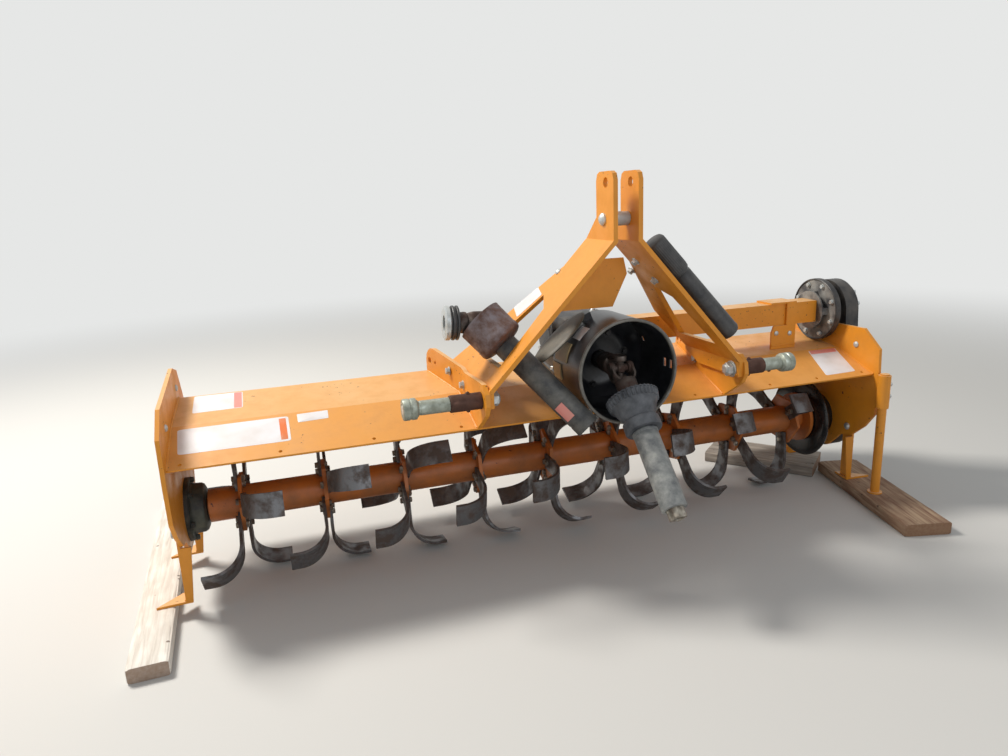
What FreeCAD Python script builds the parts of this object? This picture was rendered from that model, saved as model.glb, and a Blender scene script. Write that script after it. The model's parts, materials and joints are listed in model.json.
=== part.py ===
import FreeCAD, Part
import math
import os
import Sketcher

# Rotary tiller for a tractor's three point hitch, standing level on two planks.
# Frame: X is the working width, positive to the right as seen from the tractor side.
# The tractor is towards -Y, the tailgate towards +Y, and Z is up from the ground.
# The rotor's axis lies on the line Y = 0, Z = rotor_height.

doc = FreeCAD.newDocument("rotary_tiller")
sheet = doc.addObject("Spreadsheet::Sheet", "Sizes")


class SizeTable:
    """The driving dimensions, readable by name after they are written to the sheet."""


s = SizeTable()

SIZES = (
    # name, value in mm or degrees or pieces, what it is
    ("hood_width", 2032.0, "hood between the side plates"),
    ("hood_wall", 5.0, "hood sheet"),
    ("hood_front_y", -232.0, "front edge of the hood"),
    ("hood_front_z", 419.0, "front edge of the hood, top face"),
    ("hood_fold_y", -71.0, "fold between slope and deck"),
    ("hood_fold_z", 478.0, "fold, top face"),
    ("hood_rear_y", 126.0, "rear edge of the deck"),
    ("hood_rear_z", 505.0, "rear edge of the deck, top face"),
    ("hood_tail_y", 236.0, "lower end of the rear slope"),
    ("hood_tail_z", 414.0, "lower end of the rear slope, top face"),
    ("edge_hole_dia", 9.0, "holes along the front edge"),
    ("edge_hole_inset", 16.0, "holes behind the front edge"),
    ("plate_wall", 10.0, "side plates"),
    ("rotor_height", 228.0, "rotor axis above the ground"),
    ("rotor_tube_dia", 89.0, "rotor tube"),
    ("rotor_tube_left_gap", 54.0, "left side plate to the rotor tube"),
    ("rotor_tube_right_gap", 84.0, "right side plate to the rotor tube"),
    ("stub_dia", 45.0, "stub shafts at both ends of the rotor"),
    ("stub_length", 36.0, "stub shafts beyond the tube"),
    ("bore_gap", 0.05, "radial gap of a shaft in its bore"),
    ("flange_across", 84.0, "corner radius of the tine flanges"),
    ("flange_wall", 10.0, "tine flanges"),
    ("flange_first", 138.0, "left side plate to the first flange's middle"),
    ("flange_last", 142.0, "last flange's middle to the right side plate"),
    ("end_flange_dia", 164.0, "round flange at the rotor's right end"),
    ("end_flange_wall", 12.0, "round end flange"),
    ("flange_count", 9.0, "flanges on the rotor"),
    ("tines_per_side", 3.0, "tines on each face of a flange"),
    ("tine_wall", 8.0, "tine thickness"),
    ("tine_reach", 214.0, "rotor axis to the outer face of a blade"),
    ("tine_foot", 105.0, "blade length along the rotor"),
    ("tine_bend", 80.0, "outer radius of the tine's bend"),
    ("tine_gap", 0.5, "rotor tube to the inner end of a tine"),
    ("tine_width", 44.0, "width of a tine where it is bolted"),
    ("tine_sweep", 28.0, "how far a blade trails its shank"),
    ("tine_start", 39.5, "angle of the first flange's left tines below the front"),
    ("tine_step", -9.5, "turn from one flange to the next"),
    ("housing_dia", 170.0, "left bearing housing, flange"),
    ("housing_wall", 12.0, "left bearing housing, flange thickness"),
    ("housing_barrel", 134.0, "left bearing housing, barrel"),
    ("case_wall", 58.0, "side drive case, thickness"),
    ("case_low_radius", 112.0, "side drive case, lower end"),
    ("case_top_radius", 96.0, "side drive case, upper end"),
    ("case_cover_wall", 12.0, "cover on the side drive case"),
    ("case_cover_inset", 9.0, "cover inside the case's outline"),
    ("hub_gap", 5.0, "rotor tube to the hub and to the bearing"),
    ("hub_dia", 272.0, "black hub disc at the rotor's right end"),
    ("hub_wall", 16.0, "black hub disc, thickness"),
    ("hub_barrel", 150.0, "barrel of the hub disc"),
    ("drive_y", 6.0, "side shaft tube's axis"),
    ("drive_z", 595.0, "side shaft tube's axis"),
    ("drive_tube", 70.0, "side shaft tube, square"),
    ("drive_tube_wall", 5.0, "side shaft tube, wall"),
    ("drive_end_gap", 56.0, "right side plate to the end of the square tube"),
    ("cage_dia", 124.0, "open cage at the end of the square tube"),
    ("cage_length", 24.0, "open cage"),
    ("cage_ring", 5.0, "cage's end ring"),
    ("cage_rib", 22.0, "cage's four ribs"),
    ("drum_dia", 200.0, "drum flange at the end of the side shaft tube"),
    ("drum_wall", 16.0, "drum flange"),
    ("drum_neck", 80.0, "drum neck"),
    ("bracket_inset", 139.0, "right side plate to the tube's bracket"),
    ("bracket_width", 36.0, "bracket's upright strap"),
    ("bracket_tab", 97.0, "bracket's tab on the tube"),
    ("bracket_foot", 92.0, "bracket's foot on the hood"),
    ("bracket_wall", 6.0, "bracket sheet"),
    ("hitch_x", 110.0, "middle of the hitch and of the drive line"),
    ("hitch_half", 371.0, "hitch middle to the middle of a hitch plate"),
    ("hitch_wall", 12.0, "hitch plates and mast plates"),
    ("hitch_flare_y", -86.0, "where a hitch plate bends outwards"),
    ("hitch_flare", 54.0, "how far its rear end stands out"),
    ("hitch_left_top_z", 578.0, "top of the left hitch plate's rear end"),
    ("hitch_right_top_z", 549.0, "the same on the right, below the side shaft tube"),
    ("pin_y", -284.0, "lower hitch pins"),
    ("pin_z", 509.0, "lower hitch pins"),
    ("pin_dia", 28.6, "lower hitch pins"),
    ("pin_collar_dia", 44.0, "rusty spacer on a hitch pin"),
    ("pin_collar_left", 82.0, "left rusty spacer"),
    ("pin_collar_right", 74.0, "right rusty spacer"),
    ("pin_nut_dia", 38.0, "nut at the inner end of a hitch pin"),
    ("pin_nut_wall", 16.0, "that nut"),
    ("pin_washer_dia", 46.0, "washer under that nut"),
    ("pin_washer_wall", 4.0, "that washer"),
    ("bush_dia", 36.6, "hitch bush"),
    ("bush_left", 118.0, "left hitch bush"),
    ("bush_right", 98.0, "right hitch bush"),
    ("bush_rim_dia", 54.0, "rim at the end of the hitch bush"),
    ("bush_rim_length", 36.0, "that rim"),
    ("mast_half", 34.0, "hitch middle to the middle of an ear"),
    ("mast_top_z", 1052.0, "top of the ears"),
    ("mast_bend_drop", 170.0, "ears' top to the bend between ear and sloping sheet"),
    ("mast_low_z", 533.0, "bend between sloping sheet and foot"),
    ("ear_front_y", -348.0, "front edge of the ears"),
    ("ear_width", 98.0, "ears, front to rear"),
    ("mast_front_y", -320.0, "front edge of a mast plate at its low bend"),
    ("mast_knee_drop", 64.0, "upper bend to the knee of the rear edge"),
    ("mast_left_rear_y", 75.0, "rear edge of the left mast plate at its low bend"),
    ("mast_left_rear_z", 540.0, "lower end of its sloping rear edge"),
    ("mast_right_rear_y", -44.0, "the same on the right, where the side shaft tube passes"),
    ("mast_right_rear_z", 652.0, "lower end of its sloping rear edge"),
    ("mast_bend_width", 163.0, "width of a mast plate at its upper bend"),
    ("slot_drop", 134.0, "upper bend to the top of the slot in the sloping sheet"),
    ("slot_rise", 50.0, "low bend to the bottom of the slot"),
    ("slot_width", 186.0, "slot at its bottom"),
    ("top_pin_y", -304.0, "top link hole"),
    ("top_pin_drop", 27.0, "ears' top to the top link hole"),
    ("top_pin_dia", 25.7, "top link hole"),
    ("spacer_y", -290.0, "spacer between the ears"),
    ("spacer_drop", 88.0, "spacer below the top link hole"),
    ("spacer_dia", 36.0, "spacer between the ears"),
    ("cross_y", -236.0, "cross plate between the sloping sheets"),
    ("cross_drop", 47.0, "upper bend to the top of the cross plate"),
    ("cross_height", 127.0, "cross plate"),
    ("cross_wall", 6.0, "cross plate"),
    ("guard_z", 554.0, "drive line's axis at the gearbox"),
    ("guard_dia", 272.0, "drive line guard"),
    ("guard_wall", 5.0, "drive line guard"),
    ("guard_front_y", -354.0, "front rim of the guard"),
    ("guard_rear_y", -168.0, "rear rim of the guard"),
    ("gearbox_width", 190.0, "gearbox housing"),
    ("gearbox_length", 230.0, "gearbox housing, front to rear"),
    ("gearbox_top_z", 668.0, "top of the gearbox"),
    ("gearbox_cover_dia", 122.0, "round covers on the gearbox's sides"),
    ("gearbox_cover_wall", 12.0, "those covers"),
    ("joint_y", -300.0, "cross of the universal joint"),
    ("line_angle", 45.0, "drive line below the horizontal"),
    ("line_tube_dia", 64.0, "drive line's guard tube"),
    ("line_bell_start", 92.0, "cross to the drive line's bell"),
    ("line_bell_length", 98.0, "drive line's bell"),
    ("line_bell_dia", 140.0, "ribbed rim of the drive line's bell"),
    ("line_rim_length", 14.0, "that rim"),
    ("line_collar_dia", 95.0, "collar at the narrow end of the bell"),
    ("line_collar_length", 30.0, "that collar"),
    ("line_length", 424.0, "cross to the end of the drive line"),
    ("line_core_dia", 44.0, "drive line's profile tube"),
    ("line_core_length", 24.0, "profile tube beyond the guard tube"),
    ("loose_z", 630.0, "drive line's tractor half, where its bell begins"),
    ("loose_y", -212.0, "the same point, front to rear"),
    ("loose_out", 24.6, "the same point, out from the sloping sheet's inner face"),
    ("loose_lean", 42.7, "its tube below the horizontal"),
    ("loose_turn", 49.5, "its tube from the front towards the right"),
    ("loose_length", 304.0, "its guard tube"),
    ("loose_tube_dia", 66.0, "its guard tube"),
    ("loose_bell_dia", 128.0, "its bell"),
    ("loose_bell_length", 92.0, "its bell"),
    ("loose_bell_wall", 5.0, "its bell"),
    ("loose_collar_dia", 90.0, "quick release collar on its yoke"),
    ("loose_collar_length", 36.0, "quick release collar"),
    ("plank_thick", 38.0, "planks"),
    ("plank_over", 170.0, "hood's end to the outermost plank corner"),
    ("plank_left_width", 89.0, "left plank"),
    ("plank_left_y", -401.0, "left plank, near end"),
    ("plank_left_turn", 3.0, "left plank, turned"),
    ("plank_right_width", 140.0, "right plank"),
    ("plank_right_inset", 96.0, "right plank, near left corner, from the hood's end"),
    ("plank_right_y", -489.0, "right plank, near left corner"),
    ("plank_right_turn", -14.5, "right plank, turned"),
    ("plank_rear_width", 184.0, "rear right plank"),
    ("plank_rear_length", 380.0, "rear right plank"),
    ("plank_rear_inset", 23.0, "rear right plank, near corner, from the hood's end"),
    ("plank_rear_y", -25.0, "rear right plank, near corner"),
    ("plank_rear_turn", 41.0, "rear right plank, turned"),
    ("leg_wall", 6.0, "legs' angle bars and feet"),
    ("leg_side", 42.0, "legs' angle bars"),
    ("leg_top_z", 262.0, "top of the legs"),
    ("leg_rib_gap", 5.0, "side plate's lower edge to a leg's rib"),
    ("leg_rib_top", 26.0, "a leg's rib at its top, inwards"),
    ("leg_rib_low", 11.0, "a leg's rib at its foot, inwards"),
    ("foot_reach", 74.0, "feet, outwards"),
    ("foot_length", 66.0, "feet, front to rear"),
    ("stand_dia", 27.0, "parking stand tube"),
    ("stand_y", -272.0, "parking stand"),
    ("stand_top_z", 427.0, "top of the parking stand"),
    ("sleeve_low_z", 319.0, "lower end of the stand's sleeve"),
    ("sleeve_length", 104.0, "the stand's sleeve"),
    ("sleeve_wall", 5.0, "the stand's sleeve"),
    ("sleeve_web", 57.0, "web from the sleeve to the side plate"),
    ("tailgate_length", 150.0, "tailgate below its hinge"),
    ("tailgate_wall", 4.0, "tailgate sheet"),
    ("hinge_dia", 20.0, "tailgate hinge barrels"),
    ("hinge_pin_dia", 10.0, "tailgate hinge pin"),
    ("canister_dia", 58.0, "document canister"),
    ("canister_cap_dia", 65.0, "canister cap"),
    ("canister_cap_length", 118.0, "canister cap"),
    ("canister_length", 350.0, "document canister"),
    ("canister_y", -290.0, "document canister"),
    ("canister_drop", 41.0, "upper bend to the canister's upper end"),
    ("seat_gap", 0.3, "round pieces to the sheet they lie on"),
)


def write_sizes():
    """Put every size in the sheet as a plain number with its name as alias."""
    for row, (name, value, note) in enumerate(SIZES, start=1):
        sheet.set(f"A{row}", name)
        sheet.set(f"B{row}", str(value))
        sheet.set(f"C{row}", note)
        sheet.setAlias(f"B{row}", name)
        setattr(s, name, float(value))
    doc.recompute()


write_sizes()
made = []


def vec(x, y, z):
    return FreeCAD.Vector(x, y, z)


def turn(axis, angle):
    return FreeCAD.Rotation(axis, angle)


AXIS_X = vec(1, 0, 0)
AXIS_Y = vec(0, 1, 0)
AXIS_Z = vec(0, 0, 1)
UPRIGHT = FreeCAD.Rotation()
ALONG_X = turn(AXIS_Y, 90)
ALONG_Y = turn(AXIS_X, -90)


def keep(thing, label):
    """Mark an object as one sub-part of the tiller; its label names its file."""
    thing.Label = label
    made.append(thing)
    return thing


def set_all(thing, **bindings):
    """Bind properties to expressions of the sheet."""
    for name, text in bindings.items():
        thing.setExpression(name, text)
    return thing


def cylinder(name, radius, height, at, rotation=UPRIGHT):
    """A cylinder whose radius and height are expressions; at is its base centre."""
    thing = doc.addObject("Part::Cylinder", name)
    set_all(thing, Radius=radius, Height=height)
    thing.Placement = FreeCAD.Placement(at, rotation)
    return thing


def block(name, length, width, height, at, rotation=UPRIGHT):
    """A box whose three sides are expressions; at is its low corner."""
    thing = doc.addObject("Part::Box", name)
    set_all(thing, Length=length, Width=width, Height=height)
    thing.Placement = FreeCAD.Placement(at, rotation)
    return thing


def joined(name, things):
    thing = doc.addObject("Part::MultiFuse", name)
    thing.Shapes = things
    return thing


def cut(name, base, tool):
    thing = doc.addObject("Part::Cut", name)
    thing.Base = base
    thing.Tool = tool
    return thing


def feature(label, shape):
    thing = doc.addObject("Part::Feature", label)
    thing.Shape = shape
    return keep(thing, label)


def plane_of(body, role):
    for plane in body.Origin.OriginFeatures:
        if plane.Role == role:
            return plane
    raise LookupError(role)


def outline_sketch(body, name, role, points, holes=()):
    """A closed outline of corners, with round holes (x, y, diameter expression)."""
    sketch = body.newObject("Sketcher::SketchObject", name)
    sketch.AttachmentSupport = [(plane_of(body, role), "")]
    sketch.MapMode = "FlatFace"
    count = len(points)
    for index, (x, y) in enumerate(points):
        after = points[(index + 1) % count]
        sketch.addGeometry(Part.LineSegment(vec(x, y, 0), vec(after[0], after[1], 0)), False)
    for index in range(count):
        sketch.addConstraint(Sketcher.Constraint("Coincident", index, 2, (index + 1) % count, 1))
    for x, y, across in holes:
        edge = sketch.addGeometry(Part.Circle(vec(x, y, 0), AXIS_Z, 5.0), False)
        rule = sketch.addConstraint(Sketcher.Constraint("Diameter", edge, 10.0))
        sketch.setExpression(f"Constraints[{rule}]", across)
    return sketch


def padded_body(label, role, points, depth, holes=(), middle=False):
    """A sheet or bar: an outline on a base plane of its body, padded by an expression."""
    body = doc.addObject("PartDesign::Body", label)
    sketch = outline_sketch(body, label + "_outline", role, points, holes)
    pad = body.newObject("PartDesign::Pad", label + "_pad")
    pad.Profile = sketch
    pad.Midplane = middle
    pad.setExpression("Length", depth)
    body.Tip = pad
    return keep(body, label)


def polar(radius, degrees):
    """A point at a radius, by its angle from +Y towards +Z."""
    angle = math.radians(degrees)
    return radius * math.cos(angle), radius * math.sin(angle)


def thickened(points, wall):
    """The closed outline of a bent sheet: its top face's corners and the same, a wall below."""
    lower = []
    for index in range(len(points)):
        normals = []
        for first, second in ((index - 1, index), (index, index + 1)):
            if first < 0 or second >= len(points):
                continue
            dx = points[second][0] - points[first][0]
            dy = points[second][1] - points[first][1]
            length = math.hypot(dx, dy)
            normals.append((dy / length, -dx / length))
        nx = sum(normal[0] for normal in normals) / len(normals)
        ny = sum(normal[1] for normal in normals) / len(normals)
        scale = wall / (nx * nx + ny * ny)
        lower.append((points[index][0] + nx * scale, points[index][1] + ny * scale))
    return list(points) + lower[::-1]


# Places that several sub-parts share.
half_hood = s.hood_width / 2
rotor_left = -half_hood + s.rotor_tube_left_gap
rotor_right = half_hood - s.rotor_tube_right_gap
ground_top = s.plank_thick
flange_pitch = (s.hood_width - s.flange_first - s.flange_last) / (s.flange_count - 1)
flange_places = [
    -half_hood + s.flange_first + index * flange_pitch for index in range(int(s.flange_count))
]
tine_root = s.rotor_tube_dia / 2 + s.tine_gap
mast_bend_z = s.mast_top_z - s.mast_bend_drop
top_pin_z = s.mast_top_z - s.top_pin_drop
hood_profile = [
    (s.hood_front_y, s.hood_front_z),
    (s.hood_fold_y, s.hood_fold_z),
    (s.hood_rear_y, s.hood_rear_z),
    (s.hood_tail_y, s.hood_tail_z),
]


def hood_height(y):
    """Height of the hood's top face at a place between its front and rear edges."""
    for (y1, z1), (y2, z2) in zip(hood_profile, hood_profile[1:]):
        if y1 <= y <= y2:
            return z1 + (z2 - z1) * (y - y1) / (y2 - y1)
    raise ValueError(y)


# Hood: one folded sheet between the side plates, with a row of holes near its front edge.
EDGE_HOLES = (
    # which end of the hood the hole is measured from, distance from that end
    (-1, 29),
    (-1, 256),
    (-1, 483),
    (-1, 710),
    (1, 625),
    (1, 369),
    (1, 200),
    (1, 30),
)


def make_hood():
    profile = thickened(hood_profile, s.hood_wall)
    body = doc.addObject("PartDesign::Body", "hood_sheet")
    sketch = outline_sketch(body, "hood_outline", "YZ_Plane", profile)
    pad = body.newObject("PartDesign::Pad", "hood_pad")
    pad.Profile = sketch
    pad.Midplane = True
    set_all(pad, Length="Sizes.hood_width")
    body.Tip = pad
    doc.recompute()
    holes = doc.addObject("Part::MultiFuse", "hood_edge_holes")
    drills = []
    for index, (end, inset) in enumerate(EDGE_HOLES):
        x = end * (half_hood - inset)
        at = vec(x, s.hood_front_y + s.edge_hole_inset, s.hood_front_z - 30)
        drills.append(cylinder(f"edge_hole_{index}", "Sizes.edge_hole_dia / 2", "60", at))
    holes.Shapes = drills
    keep(cut("hood_drilled", body, holes), "hood")


# Side plates: the same outline left and right, closing the hood's ends round the rotor.
def side_outline():
    return [
        (-181, 555),
        (-248, 499),
        (-253, 388),
        (-249, 290),
        (-212, 241),
        (-158, 195),
        (-114, 186),
        (-60, s.rotor_height - 96),
        (70, s.rotor_height - 96),
        (176, s.rotor_height - 30),
        (232, 330),
        (s.hood_tail_y + 14, s.hood_tail_z + 22),
        (s.hood_rear_y + 40, s.hood_rear_z + 70),
        (s.hood_rear_y - 30, s.hood_rear_z + 90),
    ]


def plate_edge(y):
    """Height of a side plate's lower edge at a place in Y."""
    low = side_outline()[3:11]
    for (y1, z1), (y2, z2) in zip(low, low[1:]):
        if y1 <= y <= y2:
            return z1 + (z2 - z1) * (y - y1) / (y2 - y1)
    raise ValueError(y)


def make_side_plates():
    left = padded_body("side_plate_left", "YZ_Plane", side_outline(), "Sizes.plate_wall")
    left.Placement = FreeCAD.Placement(vec(-half_hood - s.plate_wall, 0, 0), UPRIGHT)
    right_outline = [point for point in side_outline() if point[1] < s.hood_rear_z + 60]
    right_outline[-1] = (s.hood_rear_y - 20, 553)
    right_outline[-2] = (s.hood_tail_y - 2, s.hood_tail_z + 32)
    right = padded_body("side_plate_right", "YZ_Plane", right_outline, "Sizes.plate_wall")
    right.Placement = FreeCAD.Placement(vec(half_hood, 0, 0), UPRIGHT)


# Rotor: a tube with stub shafts and a row of flanges that carry the tines.
def make_rotor_shaft():
    at = vec(rotor_left, 0, s.rotor_height)
    tube = cylinder("rotor_tube", "Sizes.rotor_tube_dia / 2",
                    "Sizes.hood_width - Sizes.rotor_tube_left_gap - Sizes.rotor_tube_right_gap",
                    at, ALONG_X)
    left_at = vec(rotor_left - s.stub_length, 0, s.rotor_height)
    left = cylinder("rotor_stub_left", "Sizes.stub_dia / 2", "Sizes.stub_length", left_at, ALONG_X)
    right_at = vec(rotor_right, 0, s.rotor_height)
    right = cylinder("rotor_stub_right", "Sizes.stub_dia / 2", "Sizes.stub_length", right_at, ALONG_X)
    end = cylinder("rotor_end_flange", "Sizes.end_flange_dia / 2", "Sizes.end_flange_wall",
                   vec(rotor_right - s.end_flange_wall, 0, s.rotor_height), ALONG_X)
    pieces = [tube, left, right, end]
    for index, x in enumerate(flange_places):
        flange = doc.addObject("Part::Prism", f"flange_{index + 1}")
        flange.Polygon = 6
        set_all(flange, Circumradius="Sizes.flange_across", Height="Sizes.flange_wall")
        spin = turn(AXIS_X, -tine_angle(index))
        at = vec(x - s.flange_wall / 2, 0, s.rotor_height)
        flange.Placement = FreeCAD.Placement(at, spin.multiply(ALONG_X))
        pieces.append(flange)
    keep(joined("rotor_shaft", pieces), "rotor_shaft")


def tine_angle(index):
    """Angle of a flange's first left tine below the front of the rotor."""
    return s.tine_start + index * s.tine_step


def tine_shape():
    """One tine that points down from the axis and bends towards +X.

    The bent bar's section in X and Z is cut to the swept outline of the blade in Y and Z.
    """
    wall = s.tine_wall
    reach = s.tine_reach
    bend = s.tine_bend
    inner = bend - wall
    corner = math.sqrt(0.5)
    shank_out = Part.LineSegment(vec(0, 0, -tine_root), vec(0, 0, -(reach - bend)))
    bend_out = Part.Arc(
        vec(0, 0, -(reach - bend)),
        vec(bend - bend * corner, 0, -(reach - bend) - bend * corner),
        vec(bend, 0, -reach),
    )
    foot_out = Part.LineSegment(vec(bend, 0, -reach), vec(s.tine_foot, 0, -reach))
    tip = Part.LineSegment(vec(s.tine_foot, 0, -reach), vec(s.tine_foot, 0, -(reach - wall)))
    foot_in = Part.LineSegment(vec(s.tine_foot, 0, -(reach - wall)), vec(bend, 0, -(reach - wall)))
    bend_in = Part.Arc(
        vec(bend, 0, -(reach - wall)),
        vec(bend - inner * corner, 0, -(reach - bend) - inner * corner),
        vec(wall, 0, -(reach - bend)),
    )
    shank_in = Part.LineSegment(vec(wall, 0, -(reach - bend)), vec(wall, 0, -tine_root))
    root = Part.LineSegment(vec(wall, 0, -tine_root), vec(0, 0, -tine_root))
    edges = [piece.toShape() for piece in
             (shank_out, bend_out, foot_out, tip, foot_in, bend_in, shank_in, root)]
    section = Part.Face(Part.Wire(edges))
    section.translate(vec(0, -2 * s.tine_width, 0))
    bar = section.extrude(vec(0, 4 * s.tine_width, 0))
    half = s.tine_width / 2
    lead = s.tine_sweep * 0.3
    low = -reach - 1
    mid = -(reach - bend)
    front = Part.Arc(vec(0, -half, -90), vec(0, -half + lead * 0.2, mid), vec(0, -half + lead, low))
    rear = Part.Arc(vec(0, half + s.tine_sweep, low), vec(0, half + s.tine_sweep * 0.3, mid),
                    vec(0, half, -90))
    outline = Part.Face(Part.Wire([
        Part.LineSegment(vec(0, -half, -tine_root), vec(0, -half, -90)).toShape(),
        front.toShape(),
        Part.LineSegment(vec(0, -half + lead, low), vec(0, half + s.tine_sweep, low)).toShape(),
        rear.toShape(),
        Part.LineSegment(vec(0, half, -90), vec(0, half, -tine_root)).toShape(),
        Part.LineSegment(vec(0, half, -tine_root), vec(0, -half, -tine_root)).toShape(),
    ]))
    swept = outline.extrude(vec(s.tine_foot + 1, 0, 0))
    return bar.common(swept)


def placed_tine(shape, x, degrees, to_left):
    """A tine on a flange, its angle measured below the front of the rotor."""
    tine = shape.copy()
    if to_left:
        tine = tine.mirror(vec(0, 0, 0), AXIS_X)
    tine.rotate(vec(0, 0, 0), AXIS_X, degrees - 90)
    tine.translate(vec(x, 0, s.rotor_height))
    return tine


def make_tines():
    shape = tine_shape()
    count = int(s.tines_per_side)
    spacing = 360 / count
    for index, x in enumerate(flange_places):
        tines = []
        for number in range(count):
            first = tine_angle(index) + number * spacing
            tines.append(placed_tine(shape, x - s.flange_wall / 2, first, True))
            if index < len(flange_places) - 1:
                second = first - spacing / 2
                tines.append(placed_tine(shape, x + s.flange_wall / 2, second, False))
        feature(f"tines_{index + 1}", Part.makeCompound(tines))


# Left rotor bearing: a cast housing bolted inside the left side plate.
def make_bearing_left():
    depth = s.rotor_tube_left_gap - s.hub_gap
    at = vec(-half_hood, 0, s.rotor_height)
    flange = cylinder("housing_flange", "Sizes.housing_dia / 2", "Sizes.housing_wall", at, ALONG_X)
    barrel = cylinder("housing_barrel_body", "Sizes.housing_barrel / 2",
                      "Sizes.rotor_tube_left_gap - Sizes.hub_gap", at, ALONG_X)
    body = joined("housing_cast", [flange, barrel])
    bore_at = vec(-half_hood + depth - s.stub_length - 2, 0, s.rotor_height)
    bore = cylinder("housing_bore", "Sizes.stub_dia / 2 + Sizes.bore_gap",
                    "Sizes.stub_length + 12", bore_at, ALONG_X)
    keep(cut("rotor_bearing_left", body, bore), "rotor_bearing_left")


# Right rotor hub: a barrel from the side plate with a wide disc beside the rotor's end flange.
def make_hub_right():
    at = vec(rotor_right + s.hub_gap, 0, s.rotor_height)
    plate = cylinder("hub_plate", "Sizes.hub_dia / 2", "Sizes.hub_wall", at, ALONG_X)
    barrel = cylinder("hub_barrel_body", "Sizes.hub_barrel / 2",
                      "Sizes.rotor_tube_right_gap - Sizes.hub_gap", at, ALONG_X)
    body = joined("hub_cast", [plate, barrel])
    bore = cylinder("hub_bore", "Sizes.stub_dia / 2 + Sizes.bore_gap", "Sizes.stub_length + 4",
                    vec(rotor_right, 0, s.rotor_height), ALONG_X)
    keep(cut("rotor_hub_right", body, bore), "rotor_hub_right")


# Side drive case: a slab with two round ends outside the right side plate, and its cover.
def case_slab(start, wall, inset):
    """A slab along X from start: two arcs of the case's radii less an inset, and their tangents."""
    low = vec(start, 0, s.rotor_height)
    high = vec(start, s.drive_y, s.drive_z)
    low_radius = s.case_low_radius - inset
    top_radius = s.case_top_radius - inset
    span = math.hypot(high.y - low.y, high.z - low.z)
    lean = math.degrees(math.atan2(high.z - low.z, high.y - low.y))
    open_angle = math.degrees(math.acos((low_radius - top_radius) / span))
    a1 = lean + open_angle
    a2 = lean - open_angle

    def around(centre, radius, degrees):
        y, z = polar(radius, degrees)
        return vec(centre.x, centre.y + y, centre.z + z)

    low_start = around(low, low_radius, a1)
    low_end = around(low, low_radius, a2)
    top_start = around(high, top_radius, a1)
    top_end = around(high, top_radius, a2)
    edges = [
        Part.Arc(low_start, around(low, low_radius, lean + 180), low_end).toShape(),
        Part.LineSegment(low_end, top_end).toShape(),
        Part.Arc(top_end, around(high, top_radius, lean), top_start).toShape(),
        Part.LineSegment(top_start, low_start).toShape(),
    ]
    return Part.Face(Part.Wire(edges)).extrude(vec(wall, 0, 0))


def make_drive_case():
    outer = half_hood + s.plate_wall
    case = case_slab(outer, s.case_wall - s.case_cover_wall, 0)
    cover = case_slab(outer + s.case_wall - s.case_cover_wall, s.case_cover_wall, s.case_cover_inset)
    feature("drive_case", case.fuse(cover))


# Drum: the cast coupling between the square tube and the side drive case.
# A cage of four ribs round a core comes first, then a wide flange and its neck.
def make_drum():
    end = half_hood - s.drive_end_gap
    centre = vec(end, s.drive_y, s.drive_z)
    ring = cylinder("cage_end", "Sizes.cage_dia / 2", "Sizes.cage_ring", centre, ALONG_X)
    pieces = [ring]
    for name, wide, tall in (("level", s.cage_dia, s.cage_rib), ("upright", s.cage_rib, s.cage_dia)):
        rib = doc.addObject("Part::Box", f"cage_{name}")
        across = "Sizes.cage_dia - 2"
        set_all(rib, Length="Sizes.cage_length",
                Width=across if wide > tall else "Sizes.cage_rib",
                Height="Sizes.cage_rib" if wide > tall else across)
        half_wide = (wide - 2) / 2 if wide > tall else wide / 2
        half_tall = tall / 2 if wide > tall else (tall - 2) / 2
        rib.Placement = FreeCAD.Placement(centre - vec(0, half_wide, half_tall), UPRIGHT)
        pieces.append(rib)
    pieces.append(cylinder("drum_flange", "Sizes.drum_dia / 2", "Sizes.drum_wall",
                           centre + vec(s.cage_length, 0, 0), ALONG_X))
    pieces.append(cylinder("drum_neck_body", "Sizes.drum_neck / 2",
                           "Sizes.drive_end_gap + Sizes.plate_wall", centre, ALONG_X))
    keep(joined("drive_drum_cast", pieces), "drive_drum")


# Side shaft tube: square, from the gearbox to the drum, held by an angle bracket.
def make_drive_tube():
    half = s.drive_tube / 2
    left = s.hitch_x + s.gearbox_width / 2
    at = vec(left, s.drive_y - half, s.drive_z - half)
    length = "Sizes.hood_width / 2 - Sizes.drive_end_gap - Sizes.hitch_x - Sizes.gearbox_width / 2"
    outer = block("drive_tube_outer", length, "Sizes.drive_tube", "Sizes.drive_tube", at)
    wall = s.drive_tube_wall
    inside = block("drive_tube_inner", length, "Sizes.drive_tube - 2 * Sizes.drive_tube_wall",
                   "Sizes.drive_tube - 2 * Sizes.drive_tube_wall", at + vec(0, wall, wall))
    keep(cut("drive_tube", outer, inside), "drive_tube")


def make_drive_bracket():
    right = half_hood - s.bracket_inset
    half = s.drive_tube / 2
    front = s.drive_y - half - s.bracket_wall
    low = hood_height(front + s.bracket_wall)
    under = s.drive_z - half
    top = s.drive_z + half + s.bracket_wall
    points = [
        (right, low),
        (right, top),
        (right - s.bracket_width, top),
        (right - s.bracket_width, under),
        (right - s.bracket_foot + 8, under),
        (right - s.bracket_foot, under - 22),
        (right - s.bracket_foot, low),
    ]
    strap = padded_body("bracket_strap", "XZ_Plane", points, "Sizes.bracket_wall")
    strap.Placement = FreeCAD.Placement(vec(0, front + s.bracket_wall, 0), UPRIGHT)
    made.remove(strap)
    tab = block("bracket_tab_body", "Sizes.bracket_tab", "Sizes.drive_tube + Sizes.bracket_wall",
                "Sizes.bracket_wall", vec(right - s.bracket_tab, front, top - s.bracket_wall))
    keep(joined("drive_bracket_body", [strap, tab]), "drive_bracket")


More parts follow.
